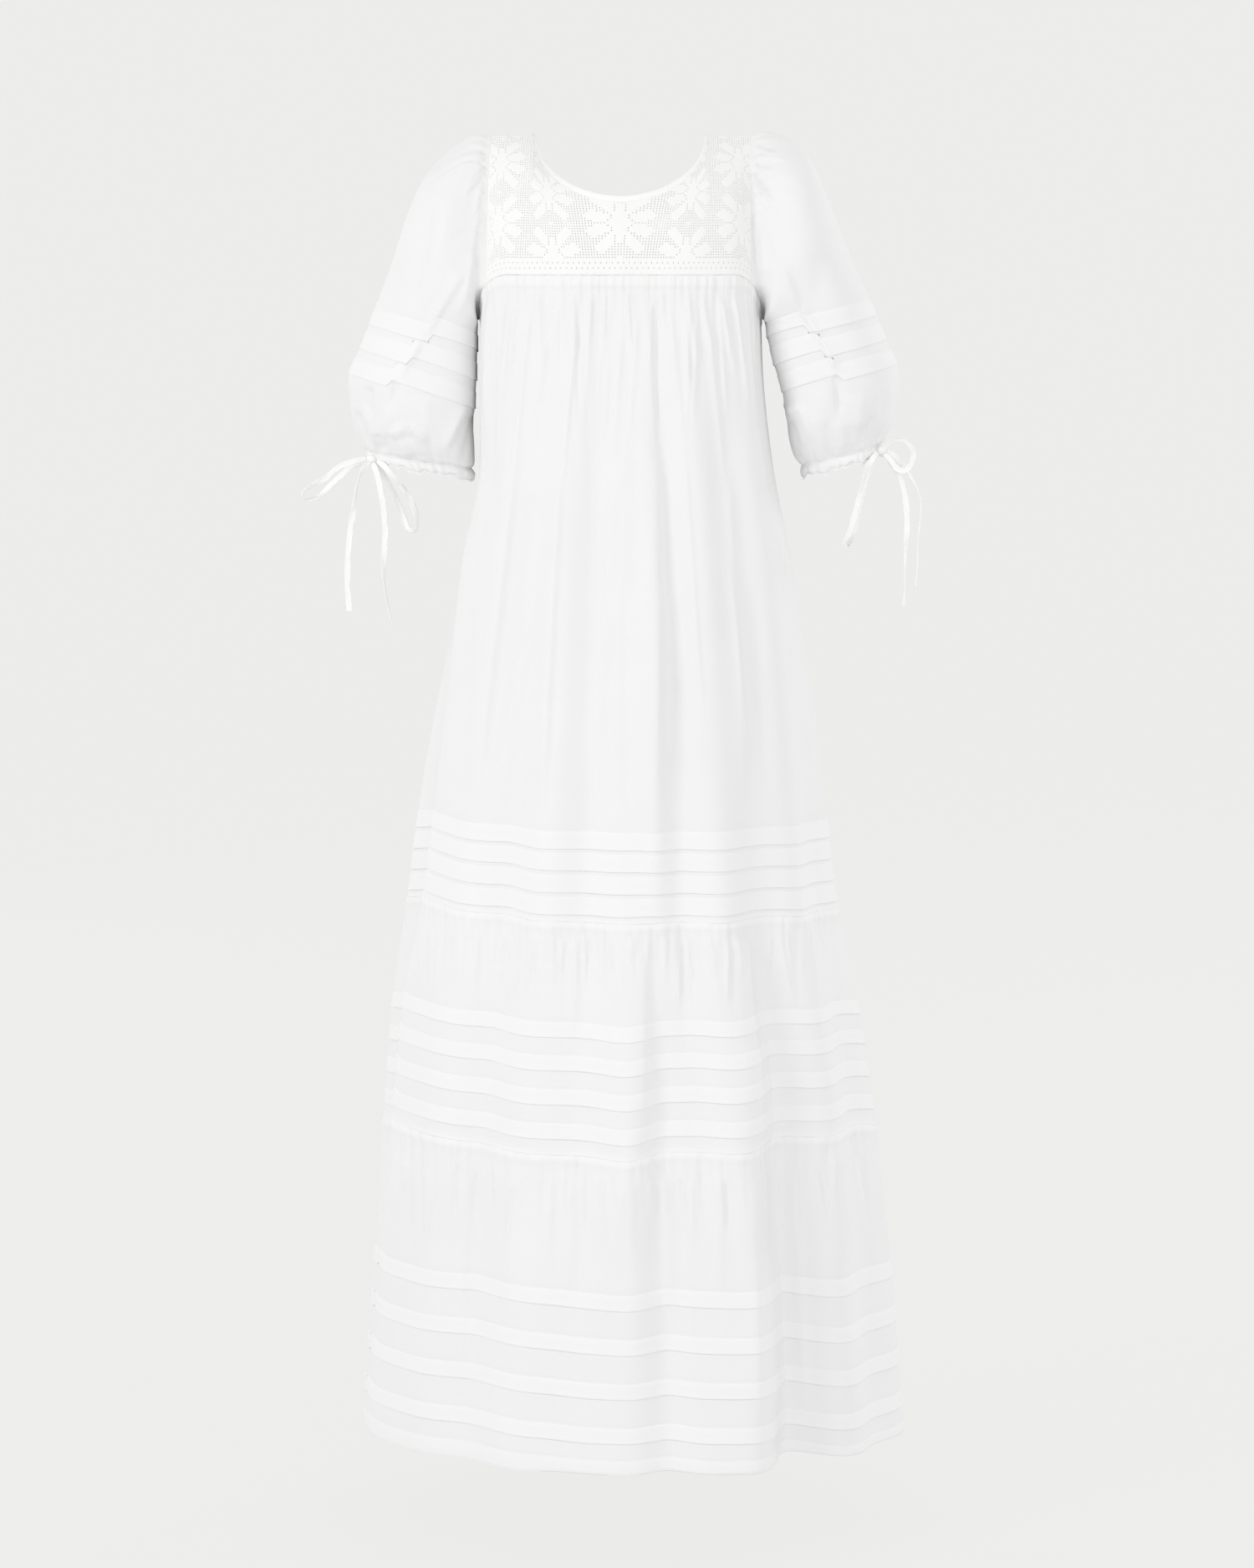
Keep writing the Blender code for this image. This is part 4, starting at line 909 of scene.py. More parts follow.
def body_form(phi):
    """The body's rows: heights, raise, doubling and distance below the gathered seam. The first
    row lies behind the yoke's edge, and the gathered heading below it is double."""
    top = top_edge_z(phi)
    near = np.concatenate([HEADING_ROWS, np.linspace(*CLOSE_ROWS), np.linspace(*WIDE_ROWS)])
    z = [top - down + 0 * phi for down in near]
    for share in np.linspace(0, 1, LEVEL_ROWS + 1)[1:]:
        z.append((top - near[-1]) * (1 - share) + LEVEL_Z * share)
    raised = [*HEADING_OUT, *([0.0] * (len(z) - len(HEADING_OUT)))]
    double = [1.0 if down < HEADING_LENGTH else 0.0 for down in near] + [0.0] * LEVEL_ROWS
    rows, start = tucked_rows(BODY, LEVEL_Z, (26, 1))
    for row_z, out, twice in rows + seam_rows(start, BODY_SEAM_Z):
        z.append(row_z + 0 * phi)
        raised.append(out)
        double.append(twice)
    z = np.stack(z)
    return z, np.array(raised), np.array(double), top - z


def tier_form(phi, seam_z, end_z, tucks, count, last_rows):
    """A tier's rows, as for the body: the first one lies behind the edge above it, and the
    heading's height fades below the seam."""
    start = seam_z - SEAM_GAP
    rows = [(start - down, out, double) for down, out, double in TIER_HEADING]
    for down in np.linspace(*TIER_CLOSE_ROWS):
        out = rows[3][1] * float(smoothstep((0.012 - down) / 0.007))
        rows.append((start - down, out, 1.0 if down < 0.007 else 0.0))
    tucked, low = tucked_rows(tucks, rows[-1][0], (count, 5))
    rows += tucked + last_rows(low, end_z)
    z, raised, double = zip(*rows)
    z = np.stack([row_z + 0 * phi for row_z in z])
    return z, np.array(raised), np.array(double), start - z


def random_folds(seed, count, half_width, top, reach, width, height):
    """Uneven small folds below a seam, in the form that `folds` reads: they lean a little
    outwards, and start, end and swell at random."""
    rng = np.random.default_rng(seed)
    x = (np.linspace(-1, 1, count) + rng.uniform(-0.8, 0.8, count) / count) * half_width
    start = top - rng.uniform(0.0, 0.15, count) * reach
    length = reach * rng.uniform(0.35, 1.1, count)
    lean = 0.10 * x / half_width + rng.normal(0, 0.06, count)
    sides = width * rng.uniform(0.6, 1.5, (2, count))
    size = height * rng.uniform(0.5, 1.2, count) * rng.choice([-1, 1, 1], count)
    return list(zip(x, start, x + lean * length, start - length, *sides, size))


def mirrored(rows, shift):
    """The same folds on the hidden side: turned over, and moved a little sideways."""
    return [(shift - x0, z0, shift - x1, z1, right, left, height)
            for x0, z0, x1, z1, left, right, height in rows]


def band_shift(phi, z):
    """How much higher the front's cloth lies at phi and z: a smooth line round for each level,
    mixed in height."""
    turns = np.radians(SHIFT_TURNS)
    total = 0 * (phi + z)
    for i, row in enumerate(SHIFTS):
        if row is not None:
            share = np.interp(-z, [-level for level in SHIFT_LEVELS], np.eye(len(SHIFTS))[i])
            total = total + share * on_curve(phi, turns, np.array(row) / 1000)
    return total


def make_panel(stretch, half, form, gather_kinds, fold_rows, seed, material):
    """One skirt panel: its fine outer rows and a plain inner side. Gathers, folds and a soft
    unevenness move the outer rows along the cloth's own normals, and fade at the side seams."""
    phi = columns_of(half, FINE_COLUMNS[half])
    z, raised, double, down = form(phi)
    base = skirt_points(np.broadcast_to(phi, z.shape), z)
    if half == "front":
        base[..., 2] += band_shift(phi, z)
    along = arc_lengths(base)
    normals = grid_normals(base)
    from_side = np.minimum(phi - phi[0], phi[-1] - phi)
    fade = smoothstep(from_side / SIDE_FADE)
    facing = smoothstep(np.abs(np.cos(phi)) / FACING)
    under_arm = 1 - UNDERARM_SHARE * smoothstep(1 - from_side / UNDERARM_FADE) * (stretch == "body")
    lift = 1 + FLAP_WANDER["skirt"] * waver(along, 0.16, seed + 70) * (double[:, None] > 0)
    pressed = 1 - PRESS_SHARE + PRESS_SHARE * smoothstep(down / PRESS_LENGTH)
    out = gathers(along, down, gather_kinds, seed) * under_arm * pressed
    out = out + FOLD_DEPTH[stretch] * folds(base[..., 0], base[..., 2], fold_rows) * facing
    out = out + uneven(along, z, seed + 60)
    out = out * fade + raised[:, None] * np.where(raised[:, None] > 0, lift, 1)
    for end in (0, -1):
        normals[:, end] = (math.copysign(1, base[0, end, 0]), 0, 0)
    outer = base + normals * out[..., None]
    kept = inner_rows(raised)
    inner = (base - normals * (THIN - np.minimum(out, 0))[..., None])[kept]
    return cloth_wall(f"{stretch}_{half}_cloth", outer, inner, kept, along, down, double, material)


def inner_rows(raised):
    """Numbers of the rows that the plain inner side keeps: first, last and every few between."""
    plain = [i for i in range(len(raised)) if raised[i] <= 0.0001]
    kept = [0]
    for i in plain:
        if i - kept[-1] >= INNER_EVERY:
            kept.append(i)
    last = len(raised) - 1
    if last - kept[-1] < 3 and len(kept) > 1:
        kept.pop()
    return np.array([*kept, last])


def yoke_lines(phi, neck, corner, rows):
    """The yoke's surface as in the solids: lines from its upper edge to the body's edge, bowed
    outwards as a parabola, with `rows` steps on each."""
    share = np.linspace(-1, 1, len(phi)) * (1 if neck["reach"] < 0 else -1)
    neck_share = neck["steps"] / corner
    side, part = np.sign(share), np.abs(share)
    turn = np.clip(part / neck_share, 0, 1) * math.pi / 2
    out = np.clip((part - neck_share) / (1 - neck_share), 0, 1)
    x = side * (NECK_HALF_WIDTH * np.sin(turn) + (SHOULDER_X - NECK_HALF_WIDTH) * out)
    y = neck["reach"] * np.cos(turn) + math.copysign(SEAM_GAP * 0.6, neck["reach"])
    top = np.stack([x, y, neck["drop"] * np.cos(turn) - SHOULDER_FALL * out], axis=-1)
    foot = skirt_points(phi, top_edge_z(phi))
    foot[:, 2] += SEAM_GAP
    bow = YOKE_BULGE * np.abs(top[:, 1] - foot[:, 1])
    lift = np.stack([0 * bow, math.copysign(0.6, neck["reach"]) * bow, 0.8 * bow], axis=-1)
    t = np.linspace(0, 1, rows + 1)[:, None, None]
    return top + (foot - top) * t + 4 * t * (1 - t) * lift


def corner_steps(half):
    """How many steps lie between the middle of a half and its yoke's corner."""
    return FRONT_CORNER_STEPS if half == "front" else BACK_CORNER_STEPS


def yoke_columns(half, count):
    """phi of `count` + 1 even columns of a yoke, between its two corners on the body's edge."""
    steps = FRONT_STEPS if half == "front" else BACK_STEPS
    corner = corner_steps(half)
    phi = columns_of(half, steps)
    at = np.linspace(steps // 2 - corner, steps // 2 + corner, count + 1)
    return np.interp(at, np.arange(steps + 1), phi)


def at_distance(lines, lengths, distance):
    """Values of each line at the given distances up from its foot."""
    found = np.empty((*distance.shape, 3))
    for j in range(lines.shape[1]):
        for k in range(3):
            found[:, j, k] = np.interp(distance[:, j], lengths[::-1, j], lines[::-1, j, k])
    return found


def charted(rows, columns):
    """Which cells of the net are darned: a border along the seam, then flowers, every other
    column of them half a repeat higher."""
    flower = np.array([[cell == "#" for cell in row] for row in FLOWER[::-1]])
    border = np.array([[cell == "#" for cell in row] for row in BORDER])
    i, j = np.meshgrid(np.arange(rows), np.arange(columns), indexing="ij")
    middle = j - columns // 2 + flower.shape[1] // 2
    shift = (middle // flower.shape[1]) % 2 * (flower.shape[0] // 2)
    chart = flower[(i - len(border) + shift) % flower.shape[0], middle % flower.shape[1]]
    chart[:len(border)] = border[:, np.arange(columns) % border.shape[1]]
    return chart


def make_yoke_lace(half, neck, material):
    """Filet lace on the yoke's surface: a square net of threads whose cells are open or darned.
    Each cell has a rim of four faces, a darned one also a raised middle, and the neckline
    shortens the cells that it crosses."""
    corner = corner_steps(half)
    rough = yoke_lines(yoke_columns(half, 24), neck, corner, 24)
    columns = round(length_along(rough[-1])[-1] / NET_PITCH / 2) * 2
    lines = yoke_lines(yoke_columns(half, columns), neck, corner, 60)
    gaps = np.linalg.norm(np.diff(lines, axis=0), axis=-1)
    lengths = np.concatenate([np.cumsum(gaps[::-1], axis=0)[::-1], np.zeros((1, columns + 1))])
    rows = int(np.ceil(lengths[0].max() / NET_PITCH))
    level = np.arange(rows + 1)[:, None] * NET_PITCH
    distance = np.minimum(level, lengths[:1])
    points = at_distance(lines, lengths, distance)
    normals = at_distance(grid_normals(lines), lengths, distance)
    high = np.diff(distance, axis=0)
    shortest = np.minimum(high[:, :-1], high[:, 1:])
    kept = shortest > NET_PITCH * 0.1
    darned = charted(rows, columns) | (shortest < NET_PITCH * 0.95)
    darned[:, [0, -1]] = True
    corners = np.stack([points[:-1, :-1], points[:-1, 1:], points[1:, 1:], points[1:, :-1]], axis=2)
    rise = np.where(darned, DARN_RISE, -THREAD_ROUND)[..., None, None] * normals[:-1, :-1, None]
    right = (corners[:, :, [1, 1, 2, 2]] - corners[:, :, [0, 0, 3, 3]]) / NET_PITCH
    up = (corners[:, :, [3, 2, 2, 3]] - corners[:, :, [0, 1, 1, 0]]) / NET_PITCH
    inward = THREAD_ACROSS * right * np.array([[1], [-1], [-1], [1]])
    inward = inward + THREAD_DOWN * up * np.array([[1], [1], [-1], [-1]])
    rims = (corners + inward + rise)[kept]
    grid = np.arange(points[..., 0].size).reshape(rows + 1, columns + 1)
    outer = np.stack([grid[:-1, :-1], grid[:-1, 1:], grid[1:, 1:], grid[1:, :-1]], axis=-1)[kept]
    inner = grid.size + np.arange(4 * len(outer)).reshape(-1, 4)
    turned = np.roll(outer, -1, axis=1), np.roll(inner, -1, axis=1)
    faces = np.stack([outer, turned[0], turned[1], inner], axis=-1).reshape(-1, 4)
    faces = np.concatenate([faces, inner[darned[kept]]])
    used, renumbered = np.unique(faces, return_inverse=True)
    every = np.concatenate([(points + normals * THREAD_ROUND).reshape(-1, 3), rims.reshape(-1, 3)])
    every = every[used]
    piece = mesh_of(f"yoke_{half}_lace", every, renumbered.reshape(-1, 4).tolist(), material)
    solid = piece.modifiers.new("thread_thickness", "SOLIDIFY")
    solid.thickness = NET_THICKNESS
    solid.offset = -1
    return piece


def neck_edge(half, neck, count):
    """The neckline of one yoke: its points, and the surface's outward normals there."""
    corner = corner_steps(half)
    lines = yoke_lines(yoke_columns(half, count), neck, corner, 40)
    normals = grid_normals(lines)
    on_neck = np.abs(lines[0, :, 0]) < NECK_HALF_WIDTH - 0.001
    return lines[0, on_neck], normals[0, on_neck]


def make_neck_binding(material):
    """A folded strip sewn over the neckline: a flattened oval carried round the neck, which laps
    over the lace and goes on past its edge."""
    path, out = [], []
    for half, side, neck in (("front", 1, NECK_FRONT), ("back", -1, NECK_BACK)):
        points, normals = neck_edge(half, neck, 160)
        path.append(np.concatenate([points, [[side * NECK_HALF_WIDTH, 0.0, 0.0]]]))
        out.append(np.concatenate([normals, [[0.0, 0.0, 1.0]]]))
    path, out = np.concatenate(path), np.concatenate(out)
    for _ in range(12):
        out = unit(out + np.roll(out, 1, axis=0) + np.roll(out, -1, axis=0))
    along = unit(np.roll(path, -1, axis=0) - np.roll(path, 1, axis=0))
    inward = unit(np.cross(out, along))
    middle = (BINDING_GAP + BINDING_WIDTH - BINDING_LAP) / 2
    half_width = (BINDING_GAP + BINDING_WIDTH + BINDING_LAP) / 2
    turn = round_turns(BINDING_SIDES)
    wide = np.sign(np.cos(turn)) * np.abs(np.cos(turn)) ** 0.7 * half_width
    deep = np.sign(np.sin(turn)) * np.abs(np.sin(turn)) ** 0.6 * BINDING_THICKNESS / 2
    s = length_along(np.concatenate([path, path[:1]]))[:-1]
    pucker = 1 + 0.10 * waver(s, 0.011, 5)[:, None] + 0.06 * waver(s, 0.0043, 6)[:, None]
    rings = (
        path[:, None]
        + inward[:, None] * (middle + wide)[None, :, None]
        + out[:, None] * (deep[None, :] * pucker - WALL / 2)[..., None]
    )
    return tube("neck_binding_tape", rings, s, turn / (2 * math.pi) * 0.012, material, True)


def tube(name, rings, along, round_it, material, ring_closed=False):
    """A tube through rings of points, closed end to end or with flat faces at both ends."""
    count, sides = rings.shape[:2]
    number = first_again(np.arange(count * sides).reshape(count, sides))
    if ring_closed:
        number = np.concatenate([number, number[:1]])
    faces = np.stack([number[:-1, :-1], number[:-1, 1:], number[1:, 1:], number[1:, :-1]], axis=-1)
    faces = faces.reshape(-1, 4).tolist()
    if not ring_closed:
        faces += [number[0, :-1][::-1].tolist(), number[-1, :-1].tolist()]
    piece = mesh_of(name, rings, faces, material)
    mesh = piece.data
    corner = corner_points(mesh)
    uv = np.stack([np.repeat(along, sides)[corner], np.tile(round_it, count)[corner]], axis=-1)
    add_uv(mesh, uv)
    return piece


def armhole_ring(side):
    """The armhole from the shoulder down the front, under the arm and up the back, finely
    divided, and which of its points is the underarm."""
    edge = -1 if side > 0 else 0
    front_phi, back_phi = yoke_columns("front", 2), yoke_columns("back", 2)
    front_edge = yoke_lines(front_phi, NECK_FRONT, FRONT_CORNER_STEPS, 40)[:, edge]
    back_edge = yoke_lines(back_phi, NECK_BACK, BACK_CORNER_STEPS, 40)[:, 0 if side > 0 else -1]
    behind = back_phi[0] if side > 0 else back_phi[-1] - 2 * math.pi
    to_underarm = np.linspace(front_phi[edge], side * math.pi / 2, 30)[1:]
    to_back = np.linspace(side * math.pi / 2, behind, 30)[1:]
    under = [skirt_points(phi, top_edge_z(phi)) for phi in (to_underarm, to_back)]
    ring = np.concatenate([front_edge, *under, back_edge[::-1][1:-1]])
    return ring, len(front_edge) + len(to_underarm) - 1


def sleeve_lines(side, rows):
    """The sleeve's rings, finely divided round, without their gathers."""
    armhole, underarm = armhole_ring(side)
    knots = [*ring_turns(armhole, underarm), 2 * math.pi]
    fine = round_turns(SLEEVE_COLUMNS)
    closed = np.concatenate([armhole, armhole[:1]])
    ring = np.stack([np.interp(fine, knots, closed[:, k]) for k in range(3)], axis=-1)
    under = int(np.argmin(np.abs(fine - math.pi)))
    ring[:, 0] += side * SEAM_GAP * 1.5
    shares = [*ARMHOLE_SHARES, *([0] * (len(rows) - len(ARMHOLE_SHARES)))]
    made = [sleeve_ring(row, side, fine, ring, under, share) for row, share in zip(rows, shares)]
    return np.stack([ring, *made])


def between_rings(rings, at):
    """Points between rings at the places `at` (rows by columns, 0 at the first ring), on a
    smooth curve through each column's points."""
    slopes = np.gradient(rings, axis=0)
    i = np.clip(np.floor(at).astype(int), 0, len(rings) - 2)
    t = (at - i)[..., None]
    column = np.arange(rings.shape[1])[None, :]
    a, b, sa, sb = rings[i, column], rings[i + 1, column], slopes[i, column], slopes[i + 1, column]
    rise = (1 + 2 * t) * (1 - t) ** 2 * a + t * t * (3 - 2 * t) * b
    return rise + t * (1 - t) ** 2 * sa - t * t * (1 - t) * sb


def pleat_step(turn, middle):
    """How far a tuck is pulled up past the pleat that crosses it, front and back alike: a quick
    smooth step, then back to nothing at the underarm."""
    past = np.abs(wrapped(turn)) - middle
    return PLEAT_RISE * smoothstep(past / PLEAT_WIDTH) * (1 - smoothstep(past / (math.pi - middle)))


def sleeve_rows(rings, turn, pleat_turns):
    """Places of the fine rows between the rings, their raise and doubling: plain rows, and the
    flap of each tuck measured up from its fold edge."""
    steps = np.linalg.norm(np.diff(rings, axis=0), axis=-1)
    blocks, raised, double = [], [], []

    def add(places, out, twice):
        blocks.append(places)
        raised.extend(out)
        double.extend(twice)

    def plain(start, end, count):
        share = np.linspace(0, 1, count, endpoint=False)[:, None]
        add(start + (end - start) * share, [0.0] * count, [0.0] * count)

    profile, start = TUCK_PROFILE, np.zeros(rings.shape[1])
    for number, middle, count in zip(SLEEVE_TUCKS, pleat_turns, SLEEVE_PLAIN_ROWS):
        room = steps[number]
        edge = number + 1 - pleat_step(turn, math.radians(middle)) / room
        height = SLEEVE_TUCK_HEIGHT / room
        plain(start, edge - height - STITCH_ABOVE / room, count)
        flap = edge - height * profile["share"][:, None] - profile["up"][:, None] / room
        add(flap, profile["out"], profile["double"])
        start = edge + TUCK_BELOW / room
    end = len(rings) - 1.0 + 0 * start
    plain(start, end, SLEEVE_LAST_ROWS)
    add(end[None], [0.0], [0.0])
    return np.concatenate(blocks), np.array(raised), np.array(double)


def ring_gathers(turn, away, kinds, seed):
    """Height of gathers round a ring: |sin| to a power, which fade with the distance from their
    seam. Sines of a few turns a ring make their spacing, depth and reach uneven."""
    total = 0 * (turn + away)
    for i, (count, depth, fade) in enumerate(kinds):
        warp = (
            0.7 * np.sin(3 * turn + seed + i)
            + 0.4 * np.sin(7 * turn + 2 * seed)
            + 0.3 * np.sin(12 * turn + i)
        )
        size = 0.75 + 0.3 * np.sin(5 * turn + 3 * seed + i) + 0.2 * np.sin(11 * turn + i)
        reach = fade * (1 + 0.35 * np.sin(6 * turn + seed) + 0.3 * np.sin(13 * turn + 2 * i))
        crest = np.abs(np.sin(turn * count / 2 + warp)) ** 0.8 - 0.55
        total = total + depth * size * crest * np.exp(-(away / reach) ** 1.4)
    return total


def make_sleeve_cloth(name, side, table_rows, fold_rows, material, seed):
    """A puffed sleeve, gathered at its head and at its cuff, with three tucks round it that a
    pleat crosses. Its first row lies over the yoke's edge, so that the seam is closed."""
    rings = sleeve_lines(side, table_rows)
    turn = round_turns(SLEEVE_COLUMNS)
    at, raised, double = sleeve_rows(rings, turn, PLEAT_TURNS[name])
    base = between_rings(rings, at)
    round_it = np.roll(base, -1, axis=1) - np.roll(base, 1, axis=1)
    normals = unit(np.cross(np.gradient(base, axis=0), round_it))
    away = ((base - base.mean(axis=1, keepdims=True)) * normals).sum(axis=-1).mean()
    normals = normals if away > 0 else -normals
    steps = np.linalg.norm(np.diff(base, axis=0), axis=-1)
    down = np.concatenate([np.zeros((1, SLEEVE_COLUMNS)), np.cumsum(steps, axis=0)])
    up = down[-1:] - down
    upper = smoothstep((np.cos(turn) + 0.75) / 1.1)
    out = upper * smoothstep(down / 0.004) * ring_gathers(turn, down, HEAD_GATHERS, seed)
    out = out + smoothstep(up / 0.003) * ring_gathers(turn, up, CUFF_GATHERS, seed + 2)
    facing = smoothstep(np.abs(np.sin(turn)) / 0.4)
    ends = smoothstep(down / 0.006) * smoothstep(up / 0.006)
    out = out + SLEEVE_FOLD_DEPTH * folds(base[..., 0], base[..., 2], fold_rows) * facing * ends
    double = np.where(up.mean(axis=1) < 0.010, 0.8, double)
    slow = np.sin(3 * turn + 22 * down + seed) * np.sin(2 * turn - 13 * down + 2 * seed)
    out = out + 0.0012 * slow * smoothstep(down / 0.05) * smoothstep(up / 0.03)
    lift = 1 + FLAP_WANDER["sleeve"] * np.sin(9 * turn + seed) * np.sin(4 * turn)
    out = out + raised[:, None] * np.where(raised[:, None] > 0, lift, 1)
    over = HEAD_LAP * (1 - smoothstep(down / 0.003))
    outer = base + normals * (out + over)[..., None]
    outer[0, :, 0] -= side * HEAD_TUCKED_IN
    kept = inner_rows(raised)
    inner = (base - normals * (THIN - np.minimum(out, 0))[..., None])[kept]
    outer, inner, down = outer[:, ::-side], inner[:, ::-side], down[:, ::-side]
    along = turn[None, ::-side] * ROUND_LENGTH
    name = f"sleeve_{name}_cloth"
    return cloth_wall(name, outer, inner, kept, along, down, double, material, True), rings


def make_cuff_cloth(name, side, rings, material, seed):
    """The gathered channel that holds the drawstring: a soft band, puckered by its gathers, with
    a crumpled lower edge."""
    ring = rings[-1]
    axis = unit(ring.mean(axis=0) - rings[-2].mean(axis=0))
    out = unit(ring - ring.mean(axis=0))
    turn = round_turns(SLEEVE_COLUMNS)
    t = np.array(CUFF_ROWS)
    bulge = 0.0004 + 0.0018 * np.sin(math.pi * np.clip((t - 0.1) / 0.74, 0, 1)) ** 0.8
    stitched = (np.abs(t - 0.07) < 0.03) | (np.abs(t - 0.87) < 0.04)
    bulge = bulge - 0.0007 * stitched - 0.0012 * (t < 0)
    pucker = ring_gathers(turn, 0 * turn, CUFF_PUCKERS, seed + 2)
    size = PUCKER_DEPTH * (0.5 + 0.6 * np.sin(math.pi * np.clip(t, 0.05, 0.95)))
    drop = 1 + 0.20 * np.sin(11 * turn + seed) * np.sin(4 * turn + 2 * seed)
    drop = drop + 0.10 * np.sin(29 * turn)
    place = SEAM_GAP + t[:, None] * CUFF_HEIGHT * np.where(t[:, None] > 0.6, drop, 1)
    raise_by = bulge[:, None] + size[:, None] * pucker[None, :]
    outer = ring + axis * place[..., None] + out * raise_by[..., None]
    kept = np.array(CUFF_INNER_ROWS)
    inner = (ring + axis * place[..., None] - out * THIN)[kept]
    outer, inner = outer[:, ::-side], inner[:, ::-side]
    down, along = (t * CUFF_HEIGHT)[:, None] + 0 * turn, turn[None, ::-side] * ROUND_LENGTH
    name, double = f"cuff_{name}_cloth", np.ones(len(t))
    return cloth_wall(name, outer, inner, kept, along, down, double, material, True)


def make_ribbon(name, route, knot, material, seed):
    """A flat tie: a flattened section of twelve points carried along its route, which turns with
    it and is pinched at the knot and a little cupped. Returns it with its middle line."""
    last = seated(route[-1], knot) if name.startswith("loop") else route[-1]
    line = smooth_line((seated(route[0], knot), *route[1:-1], last), RIBBON_STEP)
    path, turn = line[:, :3], np.radians(line[:, 3:])
    s = length_along(path)
    tangent = unit(np.gradient(path, axis=0))
    across = unit(np.cross(tangent, [0.0, 1.0, 0.0]))
    face = np.cross(across, tangent)
    wide = across * np.cos(turn) + face * np.sin(turn)
    thick = np.cross(tangent, wide)
    pinch = 1 - PINCH * np.exp(-(s / PINCH_LENGTH) ** 2)
    if name.startswith("loop"):
        pinch = pinch - PINCH * np.exp(-((s[-1] - s) / PINCH_LENGTH) ** 2)
    half = TIE_WIDTH / 2 * pinch * (1 + 0.05 * waver(s, 0.05, seed))
    x, y = np.array(RIBBON_ACROSS), np.array(RIBBON_DEEP)
    deep = TIE_THICKNESS * RIBBON_SHARE
    cup = RIBBON_CUP * waver(s, 0.03, seed + 1)
    rings = (
        path[:, None]
        + wide[:, None] * (half[:, None] * x)[..., None]
        + thick[:, None] * (deep * y + cup[:, None] * (1 - x * x))[..., None]
    )
    round_it = np.arange(len(x)) / len(x) * 2 * TIE_WIDTH
    return tube(f"{name}_tape", rings, s, round_it, material), path


def make_knot(name, place, material):
    """A knotted tape: an ellipsoid with wrapped bands that stand out round it."""
    rows, columns = 26, 36
    polar = np.linspace(0.06, math.pi - 0.06, rows)[:, None]
    turn = round_turns(columns)[None, :]
    flat = np.sin(polar)
    ball = [np.cos(polar) + 0 * turn, flat * np.cos(turn), flat * np.sin(turn)]
    ball = np.stack(ball, axis=-1)
    bands = 0.93 + 0.07 * np.cos(2.2 * turn + 5.5 * polar) ** 2
    bands = bands + 0.05 * np.exp(-((polar - 1.57) / 0.42) ** 2)
    rings = np.array(place) + ball * (np.array(KNOT_RADII) * 0.97) * bands[..., None]
    return tube(f"{name}_tape", rings, polar[:, 0] * 0.006, turn[0] * 0.005, material)


def linear(code):
    """An sRGB hex colour as linear red, green, blue and 1."""
    parts = [int(code[i : i + 2], 16) / 255 for i in (1, 3, 5)]
    return (*[p / 12.92 if p <= 0.04045 else ((p + 0.055) / 1.055) ** 2.4 for p in parts], 1.0)


def node(tree, kind, settings=None, values=None, links=None):
    """Adds a node, sets its settings and its inputs' values, and links outputs to its inputs."""
    made = tree.nodes.new(kind)
    for name, value in (settings or {}).items():
        setattr(made, name, value)
    for name, value in (values or {}).items():
        made.inputs[name].default_value = value
    for name, output in (links or {}).items():
        tree.links.new(output, made.inputs[name])
    return made


def new_material(name, roughness):
    """Matt cotton: a low gloss with the faint sheen of its loose fibres."""
    material = bpy.data.materials.new(name)
    material.use_nodes = True
    tree = material.node_tree
    shader = tree.nodes["Principled BSDF"]
    shader.inputs["Roughness"].default_value = roughness
    shader.inputs["Metallic"].default_value = 0.0
    shader.inputs["IOR"].default_value = 1.46
    shader.inputs["Specular IOR Level"].default_value = 0.25
    shader.inputs["Sheen Weight"].default_value = 0.12
    shader.inputs["Sheen Roughness"].default_value = 0.5
    return material, tree, shader


def drifting_tone(tree, place, cloud, low, high):
    """A colour that drifts between two tones in soft clouds."""
    noise = node(tree, "ShaderNodeTexNoise", None, cloud, {"Vector": place})
    tones = {6: linear(low), 7: linear(high)}
    mix = node(tree, "ShaderNodeMix", {"data_type": "RGBA"}, tones, {0: noise.outputs["Fac"]})
    return mix.outputs[2]


def join_up(tree, shader, colour, height, strength, distance):
    """Gives the shader its colour and a fine relief, `distance` metres high."""
    tree.links.new(colour, shader.inputs["Base Color"])
    relief = {"Strength": strength, "Distance": distance}
    bump = node(tree, "ShaderNodeBump", None, relief, {"Height": height})
    tree.links.new(bump.outputs["Normal"], shader.inputs["Normal"])


def weave(tree, uv, thread):
    """Height of a plain weave: two crossing sine bands, one thread wide each, in metres of uv."""
    bands = {"Scale": 2 * math.pi / 20 / thread, "Distortion": 0.4, "Detail": 1.0}
    heights = {}
    for i, direction in enumerate(("X", "Y")):
        settings = {"bands_direction": direction}
        heights[i] = node(tree, "ShaderNodeTexWave", settings, bands, {"Vector": uv}).outputs["Fac"]
    higher = node(tree, "ShaderNodeMath", {"operation": "MAXIMUM"}, None, heights)
    return higher.outputs["Value"]


